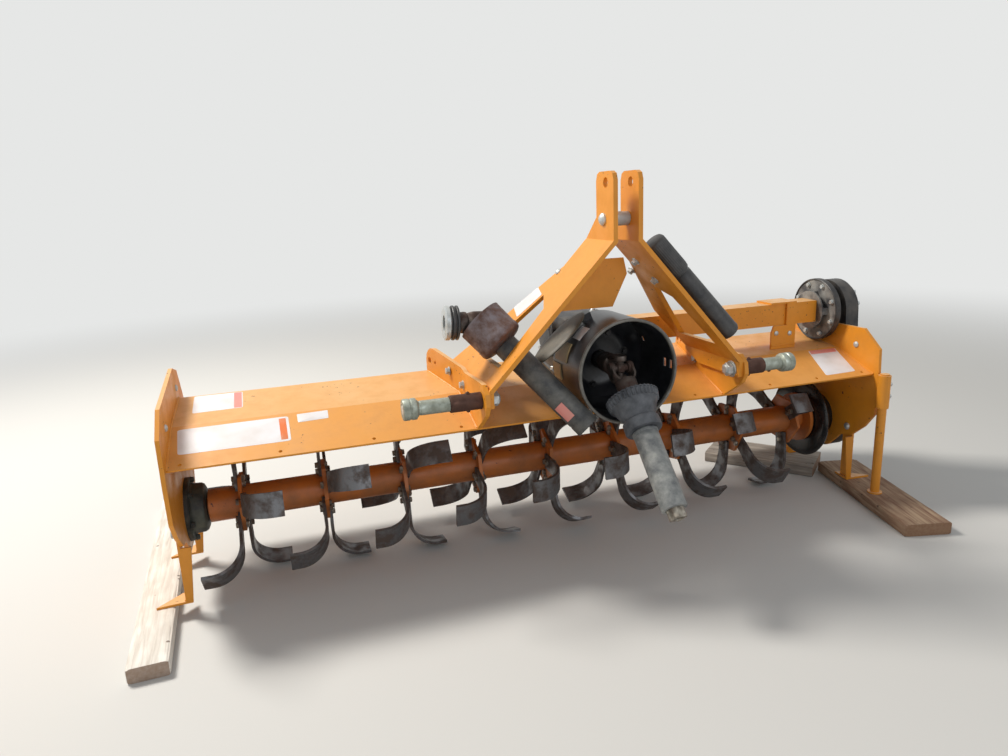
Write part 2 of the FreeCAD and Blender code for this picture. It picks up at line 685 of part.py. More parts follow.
# Gearbox: a cast block on the hood's deck, with the input shaft's boss at the front.
def make_gearbox():
    rear = s.guard_rear_y + 40 + s.gearbox_length
    front = s.guard_rear_y + 40
    points = [
        (front, hood_height(front)),
        (s.hood_fold_y, s.hood_fold_z),
        (rear, hood_height(rear)),
        (rear, s.gearbox_top_z - 26),
        (rear - 26, s.gearbox_top_z),
        (front + 26, s.gearbox_top_z),
        (front, s.gearbox_top_z - 26),
    ]
    body = padded_body("gearbox_block", "YZ_Plane", points,
                       "Sizes.gearbox_width - 2 * Sizes.gearbox_cover_wall", middle=True)
    body.Placement = FreeCAD.Placement(vec(s.hitch_x, 0, 0), UPRIGHT)
    made.remove(body)
    covers = cylinder("gearbox_covers", "Sizes.gearbox_cover_dia / 2", "Sizes.gearbox_width",
                      vec(s.hitch_x - s.gearbox_width / 2, s.drive_y, s.drive_z), ALONG_X)
    keep(joined("gearbox_body", [body, covers]), "gearbox")
    boss = cylinder("input_boss_body", "62", "40 - 4",
                    vec(s.hitch_x, s.guard_rear_y + 4, s.guard_z), ALONG_Y)
    shaft = cylinder("input_shaft_body", "22", "44",
                     vec(s.hitch_x, s.joint_y + 92, s.guard_z), ALONG_Y)
    keep(joined("input_boss", [boss, shaft]), "input_boss")


# Guard: an open drum round the universal joint, cut where the hood's slope passes under it.
def make_guard():
    radius = s.guard_dia / 2
    length = "Sizes.guard_rear_y - Sizes.guard_front_y"
    at = vec(s.hitch_x, s.guard_front_y, s.guard_z)
    outer = cylinder("guard_outer", "Sizes.guard_dia / 2", length, at, ALONG_Y)
    inner = cylinder("guard_inner", "Sizes.guard_dia / 2 - Sizes.guard_wall", length, at, ALONG_Y)
    shell = cut("guard_shell", outer, inner)
    rear_wall = s.guard_rear_y - s.guard_front_y
    disc = cylinder("guard_back", "Sizes.guard_dia / 2", "4",
                    vec(s.hitch_x, s.guard_front_y + rear_wall, s.guard_z), ALONG_Y)
    whole = joined("guard_whole", [shell, disc])
    wedge = Part.makePolygon([
        vec(0, s.hood_front_y - 2, s.hood_front_z - 200),
        vec(0, s.hood_front_y - 2, s.hood_front_z),
        vec(0, s.guard_rear_y + 8, hood_height(s.guard_rear_y + 8)),
        vec(0, s.guard_rear_y + 8, s.hood_front_z - 200),
        vec(0, s.hood_front_y - 2, s.hood_front_z - 200),
    ])
    below = doc.addObject("Part::Feature", "below_hood")
    below.Shape = Part.Face(wedge).extrude(vec(2 * radius + 20, 0, 0))
    below.Placement = FreeCAD.Placement(vec(s.hitch_x - radius - 10, 0, 0), UPRIGHT)
    hole = cylinder("guard_hole", "24", "20",
                    vec(s.hitch_x, s.guard_rear_y - 8, s.guard_z), ALONG_Y)
    keep(cut("pto_guard_body", whole, joined("guard_cuts", [below, hole])), "pto_guard")


# Universal joint: the gearbox yoke with its ears above and below the cross.
def yoke_pieces(name, base, rotation, ears_sideways, hub_length="Sizes.line_bell_start - 40"):
    """A yoke: a hub and two ears. It is drawn along +Z from its cross at the origin."""
    hub = cylinder(name + "_hub", "27", hub_length, vec(0, 0, 40))
    first = block(name + "_ear_a", "10", "34", "62", vec(24, -17, -14))
    second = block(name + "_ear_b", "10", "34", "62", vec(-34, -17, -14))
    web = block(name + "_web", "68", "34", "10", vec(-34, -17, 38))
    whole = joined(name + "_whole", [hub, first, second, web])
    quarter = turn(AXIS_Z, 0 if ears_sideways else 90)
    whole.Placement = FreeCAD.Placement(base, rotation.multiply(quarter))
    return whole


def make_joint():
    cross_at = vec(s.hitch_x, s.joint_y, s.guard_z)
    yoke = yoke_pieces("input_yoke", cross_at, ALONG_Y, False)
    keep(yoke, "input_yoke")
    one = cylinder("cross_upright", "9", "48", cross_at - vec(0, 0, 24))
    two = cylinder("cross_level", "9", "48", cross_at - vec(24, 0, 0), ALONG_X)
    keep(joined("joint_cross", [one, two]), "joint_cross")


# Drive line, implement half: yoke, bell and tube that hang from the cross.
def line_rotation():
    return turn(AXIS_X, 90 + s.line_angle)


def line_point(along):
    """A point on the drive line's axis, at a distance from the cross."""
    angle = math.radians(s.line_angle)
    return vec(s.hitch_x, s.joint_y - along * math.cos(angle), s.guard_z - along * math.sin(angle))


def make_drive_line():
    rotation = line_rotation()
    yoke = yoke_pieces("line_yoke", line_point(0), rotation, True)
    keep(yoke, "line_yoke")
    start = s.line_bell_start
    rings = [cylinder("line_rim", "Sizes.line_bell_dia / 2 - 4", "Sizes.line_rim_length",
                      line_point(start), rotation)]
    for index in range(3):
        along = start + index * (s.line_rim_length - 3) / 2
        rings.append(cylinder(f"line_rim_rib_{index}", "Sizes.line_bell_dia / 2", "3",
                              line_point(along), rotation))
    cone = doc.addObject("Part::Cone", "line_cone")
    set_all(cone, Radius1="Sizes.line_bell_dia / 2 - 10", Radius2="Sizes.line_collar_dia / 2 - 6",
            Height="Sizes.line_bell_length - Sizes.line_rim_length - Sizes.line_collar_length")
    cone.Placement = FreeCAD.Placement(line_point(start + s.line_rim_length), rotation)
    end = start + s.line_bell_length
    collar = cylinder("line_collar", "Sizes.line_collar_dia / 2", "Sizes.line_collar_length",
                      line_point(end - s.line_collar_length), rotation)
    keep(joined("line_bell_body", rings + [cone, collar]), "line_bell")
    tube = cylinder("line_tube_body", "Sizes.line_tube_dia / 2",
                    "Sizes.line_length - Sizes.line_core_length - Sizes.line_bell_start"
                    " - Sizes.line_bell_length", line_point(end), rotation)
    keep(tube, "line_tube")
    core = cylinder("line_core_body", "Sizes.line_core_dia / 2", "Sizes.line_core_length",
                    line_point(s.line_length - s.line_core_length), rotation)
    keep(core, "line_core")


# Hitch plates: upright plates along the hood that carry the lower hitch pins.
def hitch_outline(top):
    """The plate's side view in Y and Z; top is the height of its rounded rear end."""
    reach = 46
    rear = s.hood_rear_y
    points = [
        (rear, hood_height(rear)),
        (rear, top - 36),
        (rear - 5, top - 20),
        (rear - 15, top - 8),
        (rear - 29, top - 1),
        (rear - 46, top),
        (-104, 549),
        (-120, 545),
    ]
    for degrees in (70, 110, 150, 190, 230):
        y, z = polar(reach, degrees)
        points.append((s.pin_y + y, s.pin_z + z))
    points += [(s.hood_front_y, s.hood_front_z), (s.hood_fold_y, s.hood_fold_z)]
    return points


def make_hitch_plates():
    for side, sign, top in (("left", -1, s.hitch_left_top_z), ("right", 1, s.hitch_right_top_z)):
        label = f"hitch_plate_{side}"
        middle = s.hitch_x + sign * s.hitch_half
        half = s.hitch_wall / 2
        front = s.pin_y - 60
        rear = s.hood_rear_y
        flare = sign * s.hitch_flare
        plan = [
            (middle - half, front),
            (middle + half, front),
            (middle + half, s.hitch_flare_y),
            (middle + half + flare, rear),
            (middle - half + flare, rear),
            (middle - half, s.hitch_flare_y),
        ]
        strip = padded_body(label + "_plan", "XY_Plane", plan, "300")
        strip.Placement = FreeCAD.Placement(vec(0, 0, 350), UPRIGHT)
        made.remove(strip)
        holes = [
            (s.pin_y, s.pin_z, "Sizes.pin_dia"),
            (rear - 22, (top + hood_height(rear - 22)) / 2, "20"),
            (rear - 56, (top + hood_height(rear - 56)) / 2, "11"),
        ]
        outline = padded_body(label + "_side", "YZ_Plane", hitch_outline(top), "400", holes, True)
        outline.Placement = FreeCAD.Placement(vec(middle, 0, 0), UPRIGHT)
        made.remove(outline)
        plate = doc.addObject("Part::Common", label + "_bent")
        plate.Base = strip
        plate.Tool = outline
        keep(plate, label)


# Mast plates: each is an upright ear, a wide sloping sheet with a slot, and an upright foot.
def mast_profile():
    """The bent sheet's section in X and Z, as offsets from the hitch middle to the left."""
    top = -(s.mast_half - s.hitch_wall / 2)
    foot = -mast_foot()
    return [
        (top, s.mast_top_z),
        (top, mast_bend_z),
        (foot, s.mast_low_z),
        (foot, 492),
    ]


def mast_foot():
    """Offset of the foot's inner face from the hitch middle; the foot's outer face meets the plate."""
    return s.hitch_half - 1.5 * s.hitch_wall


def mast_slope_x(z):
    """Offset of the sloping sheet's inner face from the hitch middle at a height."""
    share = (mast_bend_z - z) / (mast_bend_z - s.mast_low_z)
    inner = s.mast_half - s.hitch_wall / 2
    return inner + share * (mast_foot() - inner)


def mast_slope_angle():
    """Angle of the sloping sheets below the horizontal, in degrees."""
    rise = mast_bend_z - s.mast_low_z
    return math.degrees(math.atan2(rise, mast_slope_x(s.mast_low_z) - mast_slope_x(mast_bend_z)))


def mast_shape(low_rear, low_rear_z):
    """One mast plate with its slot, drawn on the left; low_rear is its rear edge's low end."""
    outline = thickened(mast_profile(), s.hitch_wall)
    points = [vec(x, 0, z) for x, z in outline]
    sheet_face = Part.Face(Part.makePolygon(points + points[:1]))
    sheet_face.translate(vec(0, -500, 0))
    bar = sheet_face.extrude(vec(0, 800, 0))
    ear_rear = s.ear_front_y + s.ear_width
    bend_rear = s.ear_front_y + s.mast_bend_width
    side = [
        (s.ear_front_y + 22, s.mast_top_z + 1),
        (s.ear_front_y + 6, s.mast_top_z - 6),
        (s.ear_front_y, s.mast_top_z - 22),
        (s.ear_front_y, mast_bend_z),
        (s.mast_front_y, s.mast_low_z),
        (s.mast_front_y + 4, 480),
        (low_rear - 100, 480),
        (low_rear, s.mast_low_z - 10),
        (low_rear, low_rear_z),
        (bend_rear + 4, mast_bend_z - s.mast_knee_drop),
        (bend_rear, mast_bend_z + 4),
        (ear_rear, mast_bend_z + 60),
        (ear_rear, s.mast_top_z - 22),
        (ear_rear - 6, s.mast_top_z - 6),
        (ear_rear - 22, s.mast_top_z + 1),
    ]
    width = s.hitch_half + 50
    flat = [vec(-width, y, z) for y, z in side]
    cutter = Part.Face(Part.makePolygon(flat + flat[:1])).extrude(vec(width, 0, 0))
    plate = bar.common(cutter)
    slot_high = mast_bend_z - s.slot_drop
    slot_low = s.mast_low_z + s.slot_rise
    slot_front = s.mast_front_y + 50
    slot = [
        vec(-width, slot_front + 12, slot_high - 26),
        vec(-width, slot_front, slot_low),
        vec(-width, slot_front + s.slot_width, slot_low),
        vec(-width, slot_front + 74, slot_high),
    ]
    plate = plate.cut(Part.Face(Part.makePolygon(slot + slot[:1])).extrude(vec(width, 0, 0)))
    drill = Part.makeCylinder(s.top_pin_dia / 2, 200, vec(-150, s.top_pin_y, top_pin_z), AXIS_X)
    plate = plate.cut(drill)
    seat = Part.makeCylinder(s.pin_dia / 2, 2 * width, vec(-width, s.pin_y, s.pin_z), AXIS_X)
    return plate.cut(seat)


def make_mast():
    left = mast_shape(s.mast_left_rear_y, s.mast_left_rear_z)
    right = mast_shape(s.mast_right_rear_y, s.mast_right_rear_z).mirror(vec(0, 0, 0), AXIS_X)
    left.translate(vec(s.hitch_x, 0, 0))
    right.translate(vec(s.hitch_x, 0, 0))
    feature("mast_plate_left", left)
    feature("mast_plate_right", right)


# Spacer: a bush on a bolt between the ears.
def make_spacer():
    inner = s.mast_half - s.hitch_wall / 2
    at = vec(s.hitch_x - inner, s.spacer_y, top_pin_z - s.spacer_drop)
    bush = cylinder("mast_spacer_body", "Sizes.spacer_dia / 2",
                    "2 * Sizes.mast_half - Sizes.hitch_wall", at, ALONG_X)
    keep(bush, "mast_spacer")


# Cross plate: an upright sheet between the sloping plates, behind the ears.
def make_cross_plate():
    high = mast_bend_z - s.cross_drop
    low = high - s.cross_height
    points = [
        (-mast_slope_x(high), high),
        (s.mast_half + 6, high),
        (s.mast_half + 16, high - s.cross_height / 3),
        (8, low),
        (-mast_slope_x(low), low),
    ]
    plate = padded_body("cross_plate", "XZ_Plane", points, "Sizes.cross_wall")
    plate.Placement = FreeCAD.Placement(vec(s.hitch_x, s.cross_y, 0), UPRIGHT)


# Lower hitch pins: a pin with a nut, a rusty spacer, a hitch bush and a rim at its end.
PINS = (
    # side, sign of X, length of its spacer, length of its bush, both as names of sizes
    ("left", -1, "pin_collar_left", "bush_left"),
    ("right", 1, "pin_collar_right", "bush_right"),
)


def make_hitch_pins():
    face = s.hitch_half + s.hitch_wall / 2
    for side, sign, collar, bush in PINS:
        rotation = turn(AXIS_Y, 90 * sign)
        collar_length = getattr(s, collar)
        bush_length = getattr(s, bush)

        def at(out):
            return vec(s.hitch_x + sign * out, s.pin_y, s.pin_z)

        inner = face - 2 * s.hitch_wall
        tail = inner - s.pin_washer_wall - s.pin_nut_wall
        pin = cylinder(f"pin_core_{side}", "Sizes.pin_dia / 2",
                       f"Sizes.{collar} + Sizes.{bush} + 2 * Sizes.hitch_wall", at(inner), rotation)
        washer = cylinder(f"pin_washer_{side}", "Sizes.pin_washer_dia / 2", "Sizes.pin_washer_wall",
                          at(inner - s.pin_washer_wall), rotation)
        nut = cylinder(f"pin_nut_{side}", "Sizes.pin_nut_dia / 2", "Sizes.pin_nut_wall",
                       at(tail), rotation)
        keep(joined(f"hitch_pin_{side}_body", [pin, washer, nut]), f"hitch_pin_{side}")
        spacer = cylinder(f"spacer_outer_{side}", "Sizes.pin_collar_dia / 2", f"Sizes.{collar}",
                          at(face), rotation)
        hole = cylinder(f"spacer_bore_{side}", "Sizes.pin_dia / 2", f"Sizes.{collar}",
                        at(face), rotation)
        keep(cut(f"pin_spacer_{side}_body", spacer, hole), f"pin_spacer_{side}")
        start = face + collar_length
        tube = cylinder(f"bush_outer_{side}", "Sizes.bush_dia / 2", f"Sizes.{bush}",
                        at(start), rotation)
        rim = cylinder(f"bush_rim_{side}", "Sizes.bush_rim_dia / 2", "Sizes.bush_rim_length",
                       at(start + bush_length - s.bush_rim_length), rotation)
        solid = joined(f"bush_solid_{side}", [tube, rim])
        bore = cylinder(f"bush_bore_{side}", "Sizes.pin_dia / 2", f"Sizes.{bush}",
                        at(start), rotation)
        keep(cut(f"hitch_bush_{side}_body", solid, bore), f"hitch_bush_{side}")


# Planks under the legs: one on the left and two askew on the right.
# The outer ones end where they make the whole part as long behind the rotor as in front of it,
# and as wide on both sides.
def line_reach():
    """How far the hanging drive line reaches in front of the rotor's axis."""
    angle = math.radians(s.line_angle)
    end = s.line_length * math.cos(angle) + s.line_core_dia / 2 * math.sin(angle)
    return end - s.joint_y


def make_planks():
    reach = half_hood + s.plank_over
    lean = math.radians(s.plank_left_turn)
    width = s.plank_left_width
    length = (line_reach() - s.plank_left_y - width * math.sin(lean)) / math.cos(lean)
    sheet.set("E1", str(length))
    sheet.setAlias("E1", "plank_left_length")
    at = vec(-reach + length * math.sin(lean), s.plank_left_y, 0)
    left = block("plank_left_body", "Sizes.plank_left_width", "Sizes.plank_left_length",
                 "Sizes.plank_thick", at, turn(AXIS_Z, s.plank_left_turn))
    keep(left, "plank_left")
    lean = math.radians(s.plank_right_turn)
    width = s.plank_right_width * math.cos(lean)
    corner = half_hood - s.plank_right_inset
    length = (reach - corner - width) / math.sin(-lean)
    sheet.set("E2", str(length))
    sheet.setAlias("E2", "plank_right_length")
    doc.recompute()
    right = block("plank_right_body", "Sizes.plank_right_width", "Sizes.plank_right_length",
                  "Sizes.plank_thick", vec(corner, s.plank_right_y, 0),
                  turn(AXIS_Z, s.plank_right_turn))
    keep(right, "plank_right")
    rear = block("plank_rear_body", "Sizes.plank_rear_width", "Sizes.plank_rear_length",
                 "Sizes.plank_thick", vec(half_hood - s.plank_rear_inset, s.plank_rear_y, 0),
                 turn(AXIS_Z, s.plank_rear_turn))
    keep(rear, "plank_rear")


# Legs: a flat bolted outside each side plate, a rib that turns inwards below the plate's edge,
# and a three-cornered foot on a plank.
LEGS = (
    # side, which, sign of X, front face in Y
    ("left", "front", -1, -158.0),
    ("left", "rear", -1, 126.0),
    ("right", "front", 1, -158.0),
    ("right", "rear", 1, 126.0),
)


def make_legs():
    face = half_hood + s.plate_wall
    for side, which, sign, front in LEGS:
        name = f"leg_{side}_{which}"
        flat_x = face if sign > 0 else -face - s.leg_wall
        flat = block(name + "_flat", "Sizes.leg_wall", "Sizes.leg_side",
                     "Sizes.leg_top_z - Sizes.plank_thick", vec(flat_x, front, ground_top))
        outer = face + s.leg_wall
        low_edge = min(plate_edge(front), plate_edge(front + s.leg_wall))
        rib_top = low_edge - s.leg_rib_gap
        sides = [
            (sign * outer, ground_top),
            (sign * outer, rib_top),
            (sign * (face - s.leg_rib_top), rib_top),
            (sign * (face - s.leg_rib_low), ground_top),
        ]
        rib = padded_body(name + "_rib", "XZ_Plane", sides, "Sizes.leg_wall")
        rib.Placement = FreeCAD.Placement(vec(0, front + s.leg_wall, 0), UPRIGHT)
        made.remove(rib)
        corners = [
            (sign * (face - s.leg_rib_low), front),
            (sign * (face + s.foot_reach), front - 6),
            (sign * face, front + s.foot_length),
            (sign * (face - s.leg_rib_low), front + s.leg_wall),
        ]
        foot = padded_body(name + "_foot", "XY_Plane", corners, "Sizes.leg_wall")
        foot.Placement = FreeCAD.Placement(vec(0, 0, ground_top), UPRIGHT)
        made.remove(foot)
        keep(joined(name + "_body", [flat, rib, foot]), name)


# Parking stand: a tube that slides in a sleeve on the right side plate's front edge.
def make_stand():
    x = stand_x()
    at = vec(x, s.stand_y, ground_top)
    tube = cylinder("stand_tube_body", "Sizes.stand_dia / 2",
                    "Sizes.stand_top_z - Sizes.plank_thick - 4", at + vec(0, 0, 4))
    foot = cylinder("stand_foot_body", "Sizes.stand_dia * 0.8", "4", at)
    keep(joined("parking_stand_body", [tube, foot]), "parking_stand")
    outer = cylinder("sleeve_outer", "Sizes.stand_dia / 2 + Sizes.sleeve_wall",
                     "Sizes.sleeve_length", vec(x, s.stand_y, s.sleeve_low_z))
    web = block("sleeve_web_body", "6", "Sizes.sleeve_web", "Sizes.sleeve_length",
                vec(half_hood + s.plate_wall, s.stand_y, s.sleeve_low_z))
    body = joined("sleeve_solid", [outer, web])
    bore = cylinder("sleeve_bore", "Sizes.stand_dia / 2 + Sizes.bore_gap", "Sizes.sleeve_length",
                    vec(x, s.stand_y, s.sleeve_low_z))
    keep(cut("stand_sleeve_body", body, bore), "stand_sleeve")


def stand_x():
    """The stand is in line with the side plate, ahead of its front edge."""
    return half_hood + s.plate_wall / 2


# Tailgate: a folded sheet that hangs from hinge barrels below the hood's rear slope.
def hinge_centre():
    return s.hood_tail_y + s.hinge_dia / 2 + 2, s.hood_tail_z - 18


def make_tailgate():
    y, z = hinge_centre()
    radius = s.hinge_dia / 2
    top = z - radius * 0.6
    points = thickened([
        (y + 2, top),
        (y + 2, z - s.tailgate_length * 0.62),
        (y + 18, z - s.tailgate_length),
    ], -s.tailgate_wall)
    plate = padded_body("tailgate_sheet", "YZ_Plane", points, "Sizes.hood_width - 24", middle=True)
    made.remove(plate)
    pieces = [plate]
    for index in range(4):
        x = (index - 1.5) * s.hood_width / 4.4
        pieces.append(cylinder(f"tailgate_barrel_{index}", "Sizes.hinge_dia / 2", "60",
                               vec(x - 30, y, z), ALONG_X))
    solid = joined("tailgate_solid", pieces)
    bore = cylinder("tailgate_bore", "Sizes.hinge_pin_dia / 2 + Sizes.bore_gap",
                    "Sizes.hood_width", vec(-half_hood, y, z), ALONG_X)
    keep(cut("tailgate_body", solid, bore), "tailgate")
    pin = cylinder("hinge_pin_body", "Sizes.hinge_pin_dia / 2", "Sizes.hood_width",
                   vec(-half_hood, y, z), ALONG_X)
    keep(pin, "hinge_pin")


# Canister: a capped tube for papers on the right mast plate.
def make_canister():
    rise = math.radians(mast_slope_angle())
    down = vec(math.cos(rise), 0, -math.sin(rise))
    out = vec(math.sin(rise), 0, math.cos(rise))
    start_z = mast_bend_z - s.canister_drop
    start = vec(s.hitch_x + mast_slope_x(start_z), s.canister_y, start_z)
    start = start + out * (s.hitch_wall + s.canister_cap_dia / 2 + s.seat_gap)
    rotation = FreeCAD.Rotation(AXIS_Z, down)
    tube = cylinder("canister_tube", "Sizes.canister_dia / 2", "Sizes.canister_length",
                    start, rotation)
    cap = cylinder("canister_cap", "Sizes.canister_cap_dia / 2", "Sizes.canister_cap_length",
                   start - down * 4, rotation)
    keep(joined("canister_body", [tube, cap]), "canister")


# Drive line, tractor half: its tube lies through the left mast plate's slot, its joint above.
def make_loose_half():
    middle = vec(s.hitch_x - mast_slope_x(s.loose_z) - s.loose_out, s.loose_y, s.loose_z)
    lean = math.radians(s.loose_lean)
    side = math.radians(s.loose_turn)
    axis = vec(math.cos(lean) * math.sin(side), -math.cos(lean) * math.cos(side), -math.sin(lean))
    rotation = FreeCAD.Rotation(AXIS_Z, axis)
    end = middle - axis * s.loose_bell_length
    bell = cylinder("loose_bell_outer", "Sizes.loose_bell_dia / 2", "Sizes.loose_bell_length",
                    end, rotation)
    cavity = cylinder("loose_bell_inner", "Sizes.loose_bell_dia / 2 - Sizes.loose_bell_wall",
                      "Sizes.loose_bell_length - Sizes.loose_bell_wall", end, rotation)
    keep(cut("loose_bell_body", bell, cavity), "loose_bell")
    tube = cylinder("loose_tube_body", "Sizes.loose_tube_dia / 2", "Sizes.loose_length",
                    middle, rotation)
    keep(tube, "loose_tube")
    depth = s.loose_bell_length - 8
    cross = middle - axis * depth
    out = vec(-1, 0.06, 0.06)
    out.normalize()
    across = axis.cross(out)
    across.normalize()
    upright = across.cross(axis)
    inner_turn = FreeCAD.Rotation(upright, axis.cross(upright), axis, "ZXY")
    inner = yoke_pieces("loose_inner_yoke", cross, inner_turn, True,
                        "Sizes.loose_bell_length - 8 - Sizes.loose_bell_wall - 40")
    outer_turn = FreeCAD.Rotation(across, out.cross(across), out, "ZXY")
    outer = yoke_pieces("loose_outer_yoke", cross, outer_turn, True, "24")
    journals = [
        cylinder("loose_cross_one", "9", "50", cross - upright * 25,
                 FreeCAD.Rotation(AXIS_Z, upright)),
        cylinder("loose_cross_two", "9", "50", cross - across * 25,
                 FreeCAD.Rotation(AXIS_Z, across)),
    ]
    keep(joined("loose_yoke_body", [inner, outer] + journals), "loose_yoke")
    turned = FreeCAD.Rotation(AXIS_Z, out)
    start = cross + out * 64
    rings = [cylinder("loose_collar_core", "Sizes.loose_collar_dia / 2 - 6",
                      "Sizes.loose_collar_length", start, turned)]
    for name, along, length in (("zinc", 0, 13), ("black", 17, 8), ("last", 29, 7)):
        rings.append(cylinder(f"loose_collar_{name}", "Sizes.loose_collar_dia / 2", str(length),
                              start + out * along, turned))
    keep(joined("loose_collar_body", rings), "loose_collar")


make_hood()
make_side_plates()
make_rotor_shaft()
make_tines()
make_bearing_left()
make_hub_right()
make_drive_case()
make_drum()
make_drive_tube()
make_drive_bracket()
make_gearbox()
make_guard()
make_joint()
make_drive_line()
make_hitch_plates()
make_mast()
make_spacer()
make_cross_plate()
make_hitch_pins()
make_planks()
make_legs()
make_stand()
make_tailgate()
make_canister()
make_loose_half()
doc.recompute()


def check():
    """Stop on any object that failed, and on any sub-part that isn't a sound solid."""
    for thing in doc.Objects:
        for state in thing.State:
            if state in ("Invalid", "Error"):
                raise RuntimeError(f"{thing.Label}: {state}")
    for thing in made:
        shape = thing.Shape
        if shape.isNull() or not shape.isValid() or not shape.Solids:
            raise RuntimeError(f"{thing.Label}: not a sound solid")


def export():
    os.makedirs("parts", exist_ok=True)
    for thing in made:
        thing.Shape.exportStep(f"parts/{thing.Label}.step")
        box = thing.Shape.BoundBox
        print(f"{thing.Label}: {len(thing.Shape.Solids)} solids, "
              f"X {box.XMin:.0f}..{box.XMax:.0f} Y {box.YMin:.0f}..{box.YMax:.0f} "
              f"Z {box.ZMin:.0f}..{box.ZMax:.0f}, {thing.Shape.Volume / 1e6:.2f} l")


check()
export()
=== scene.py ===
import json
import math

import bmesh
import bpy
import numpy as np
from mathutils import Euler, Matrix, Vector


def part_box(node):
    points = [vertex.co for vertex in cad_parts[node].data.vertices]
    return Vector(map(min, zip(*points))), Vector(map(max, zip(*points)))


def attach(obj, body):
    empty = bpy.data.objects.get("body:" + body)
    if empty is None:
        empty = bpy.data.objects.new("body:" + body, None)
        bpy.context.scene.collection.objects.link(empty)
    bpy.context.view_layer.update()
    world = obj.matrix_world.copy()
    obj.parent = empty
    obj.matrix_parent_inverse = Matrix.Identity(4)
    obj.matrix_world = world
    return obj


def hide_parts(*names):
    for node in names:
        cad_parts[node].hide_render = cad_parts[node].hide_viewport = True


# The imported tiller: every steel, cast and moulded part with its real size and place, in metres.
# X is the working width, the tractor is towards -Y, and Z is up from the floor. The sizes below
# are in millimetres, and make_piece turns them to metres.
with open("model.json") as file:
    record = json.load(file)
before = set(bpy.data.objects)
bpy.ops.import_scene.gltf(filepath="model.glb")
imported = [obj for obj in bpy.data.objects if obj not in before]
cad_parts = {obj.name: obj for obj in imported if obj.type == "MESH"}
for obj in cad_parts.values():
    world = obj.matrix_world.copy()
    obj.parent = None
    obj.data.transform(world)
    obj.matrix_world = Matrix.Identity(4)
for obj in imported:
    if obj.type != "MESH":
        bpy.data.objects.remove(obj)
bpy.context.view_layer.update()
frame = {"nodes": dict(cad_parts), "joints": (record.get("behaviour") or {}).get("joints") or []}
nodes = frame["nodes"]


# Camera: a 25 mm lens held about a metre up, two metres in front of the rotor and left of the
# hitch, looking down on the hood as the photograph does.
lens = bpy.data.cameras.new("camera")
lens.lens = 25.49
lens.sensor_width = 36.0
viewer = bpy.data.objects.new("camera", lens)
viewer.location = (-0.7155, -1.9517, 0.9957)
viewer.rotation_euler = Euler([math.radians(turn) for turn in (75.951, 2.4365, -17.6408)])
bpy.context.scene.collection.objects.link(viewer)
bpy.context.scene.camera = viewer


# Floor and light: a pale sheet under the machine, a large lamp high behind the left end for the
# sunny side, a weaker one in front and an even pale surround.
def linear(code):
    """A colour written as sRGB hex, turned to linear red, green and blue with alpha 1."""
    parts = np.array([int(code[at:at + 2], 16) for at in (1, 3, 5)]) / 255
    low = parts / 12.92
    high = ((parts + 0.055) / 1.055) ** 2.4
    return (*np.where(parts <= 0.04045, low, high).tolist(), 1.0)


def add_node(tree, kind, inputs=None, **settings):
    """One shader node with its settings. An input is a value, a socket, another node's result,
    or a colour written as sRGB hex."""
    node = tree.nodes.new("ShaderNode" + kind)
    for name, value in settings.items():
        setattr(node, name, value)
    for name, value in (inputs or {}).items():
        socket = next(one for one in node.inputs if one.enabled and one.name == name)
        if isinstance(value, bpy.types.Node):
            value = next(one for one in value.outputs if one.enabled)
        if isinstance(value, str):
            value = linear(value)
        if isinstance(value, bpy.types.NodeSocket):
            tree.links.new(value, socket)
        else:
            socket.default_value = value
    return node


def new_finish(name):
    """An empty material's node tree, and the place on a piece that its patterns are drawn from."""
    material = bpy.data.materials.new(name)
    material.use_nodes = True
    tree = material.node_tree
    tree.nodes.clear()
    return material, tree, add_node(tree, "TexCoord").outputs["Object"]


def coat(tree, shader_inputs):
    """Close a material: one physical surface shader, linked to the output."""
    shader = add_node(tree, "BsdfPrincipled", shader_inputs)
    add_node(tree, "OutputMaterial", {"Surface": shader})


def studio_paper(paper, surround_colour):
    """Matt studio paper that takes the machine's shadow, and fades past 2.2 m into the colour of
    the surround, so that no edge of the sheet shows."""
    material, tree, place = new_finish("studio_paper")
    reach = add_node(tree, "VectorMath", {"Vector": place}, operation="LENGTH")
    share = add_node(tree, "MapRange", {
        "Value": reach.outputs["Value"], "From Min": 2.2, "From Max": 6.5},
        interpolation_type="SMOOTHSTEP")
    matt = add_node(tree, "BsdfPrincipled", {"Base Color": paper, "Roughness": 0.9})
    glow = add_node(tree, "Emission", {"Color": surround_colour})
    mixed = add_node(tree, "MixShader", {"Fac": share})
    tree.links.new(matt.outputs[0], mixed.inputs[1])
    tree.links.new(glow.outputs[0], mixed.inputs[2])
    add_node(tree, "OutputMaterial", {"Surface": mixed})
    return material


backdrop = "#E6E7E6"
floor_half = 14.0
floor_corners = np.array([(-1, -1), (1, -1), (1, 1), (-1, 1)]) * floor_half
floor_mesh = bpy.data.meshes.new("floor")
floor_mesh.from_pydata(np.c_[floor_corners, np.zeros(4)].tolist(), [], [(0, 1, 2, 3)])
floor_mesh.materials.append(studio_paper("#D3D3D1", backdrop))
floor = bpy.data.objects.new("floor", floor_mesh)
bpy.context.scene.collection.objects.link(floor)


def soft_lamp(name, spot, aim, size, watts, tint):
    """A square area lamp at a spot, turned towards the point that it lights."""
    lamp = bpy.data.lights.new(name, "AREA")
    lamp.shape = "SQUARE"
    lamp.size = size
    lamp.energy = watts
    lamp.color = linear(tint)[:3]
    holder = bpy.data.objects.new(name, lamp)
    holder.location = spot
    holder.rotation_euler = (Vector(aim) - Vector(spot)).to_track_quat("-Z", "Y").to_euler()
    bpy.context.scene.collection.objects.link(holder)


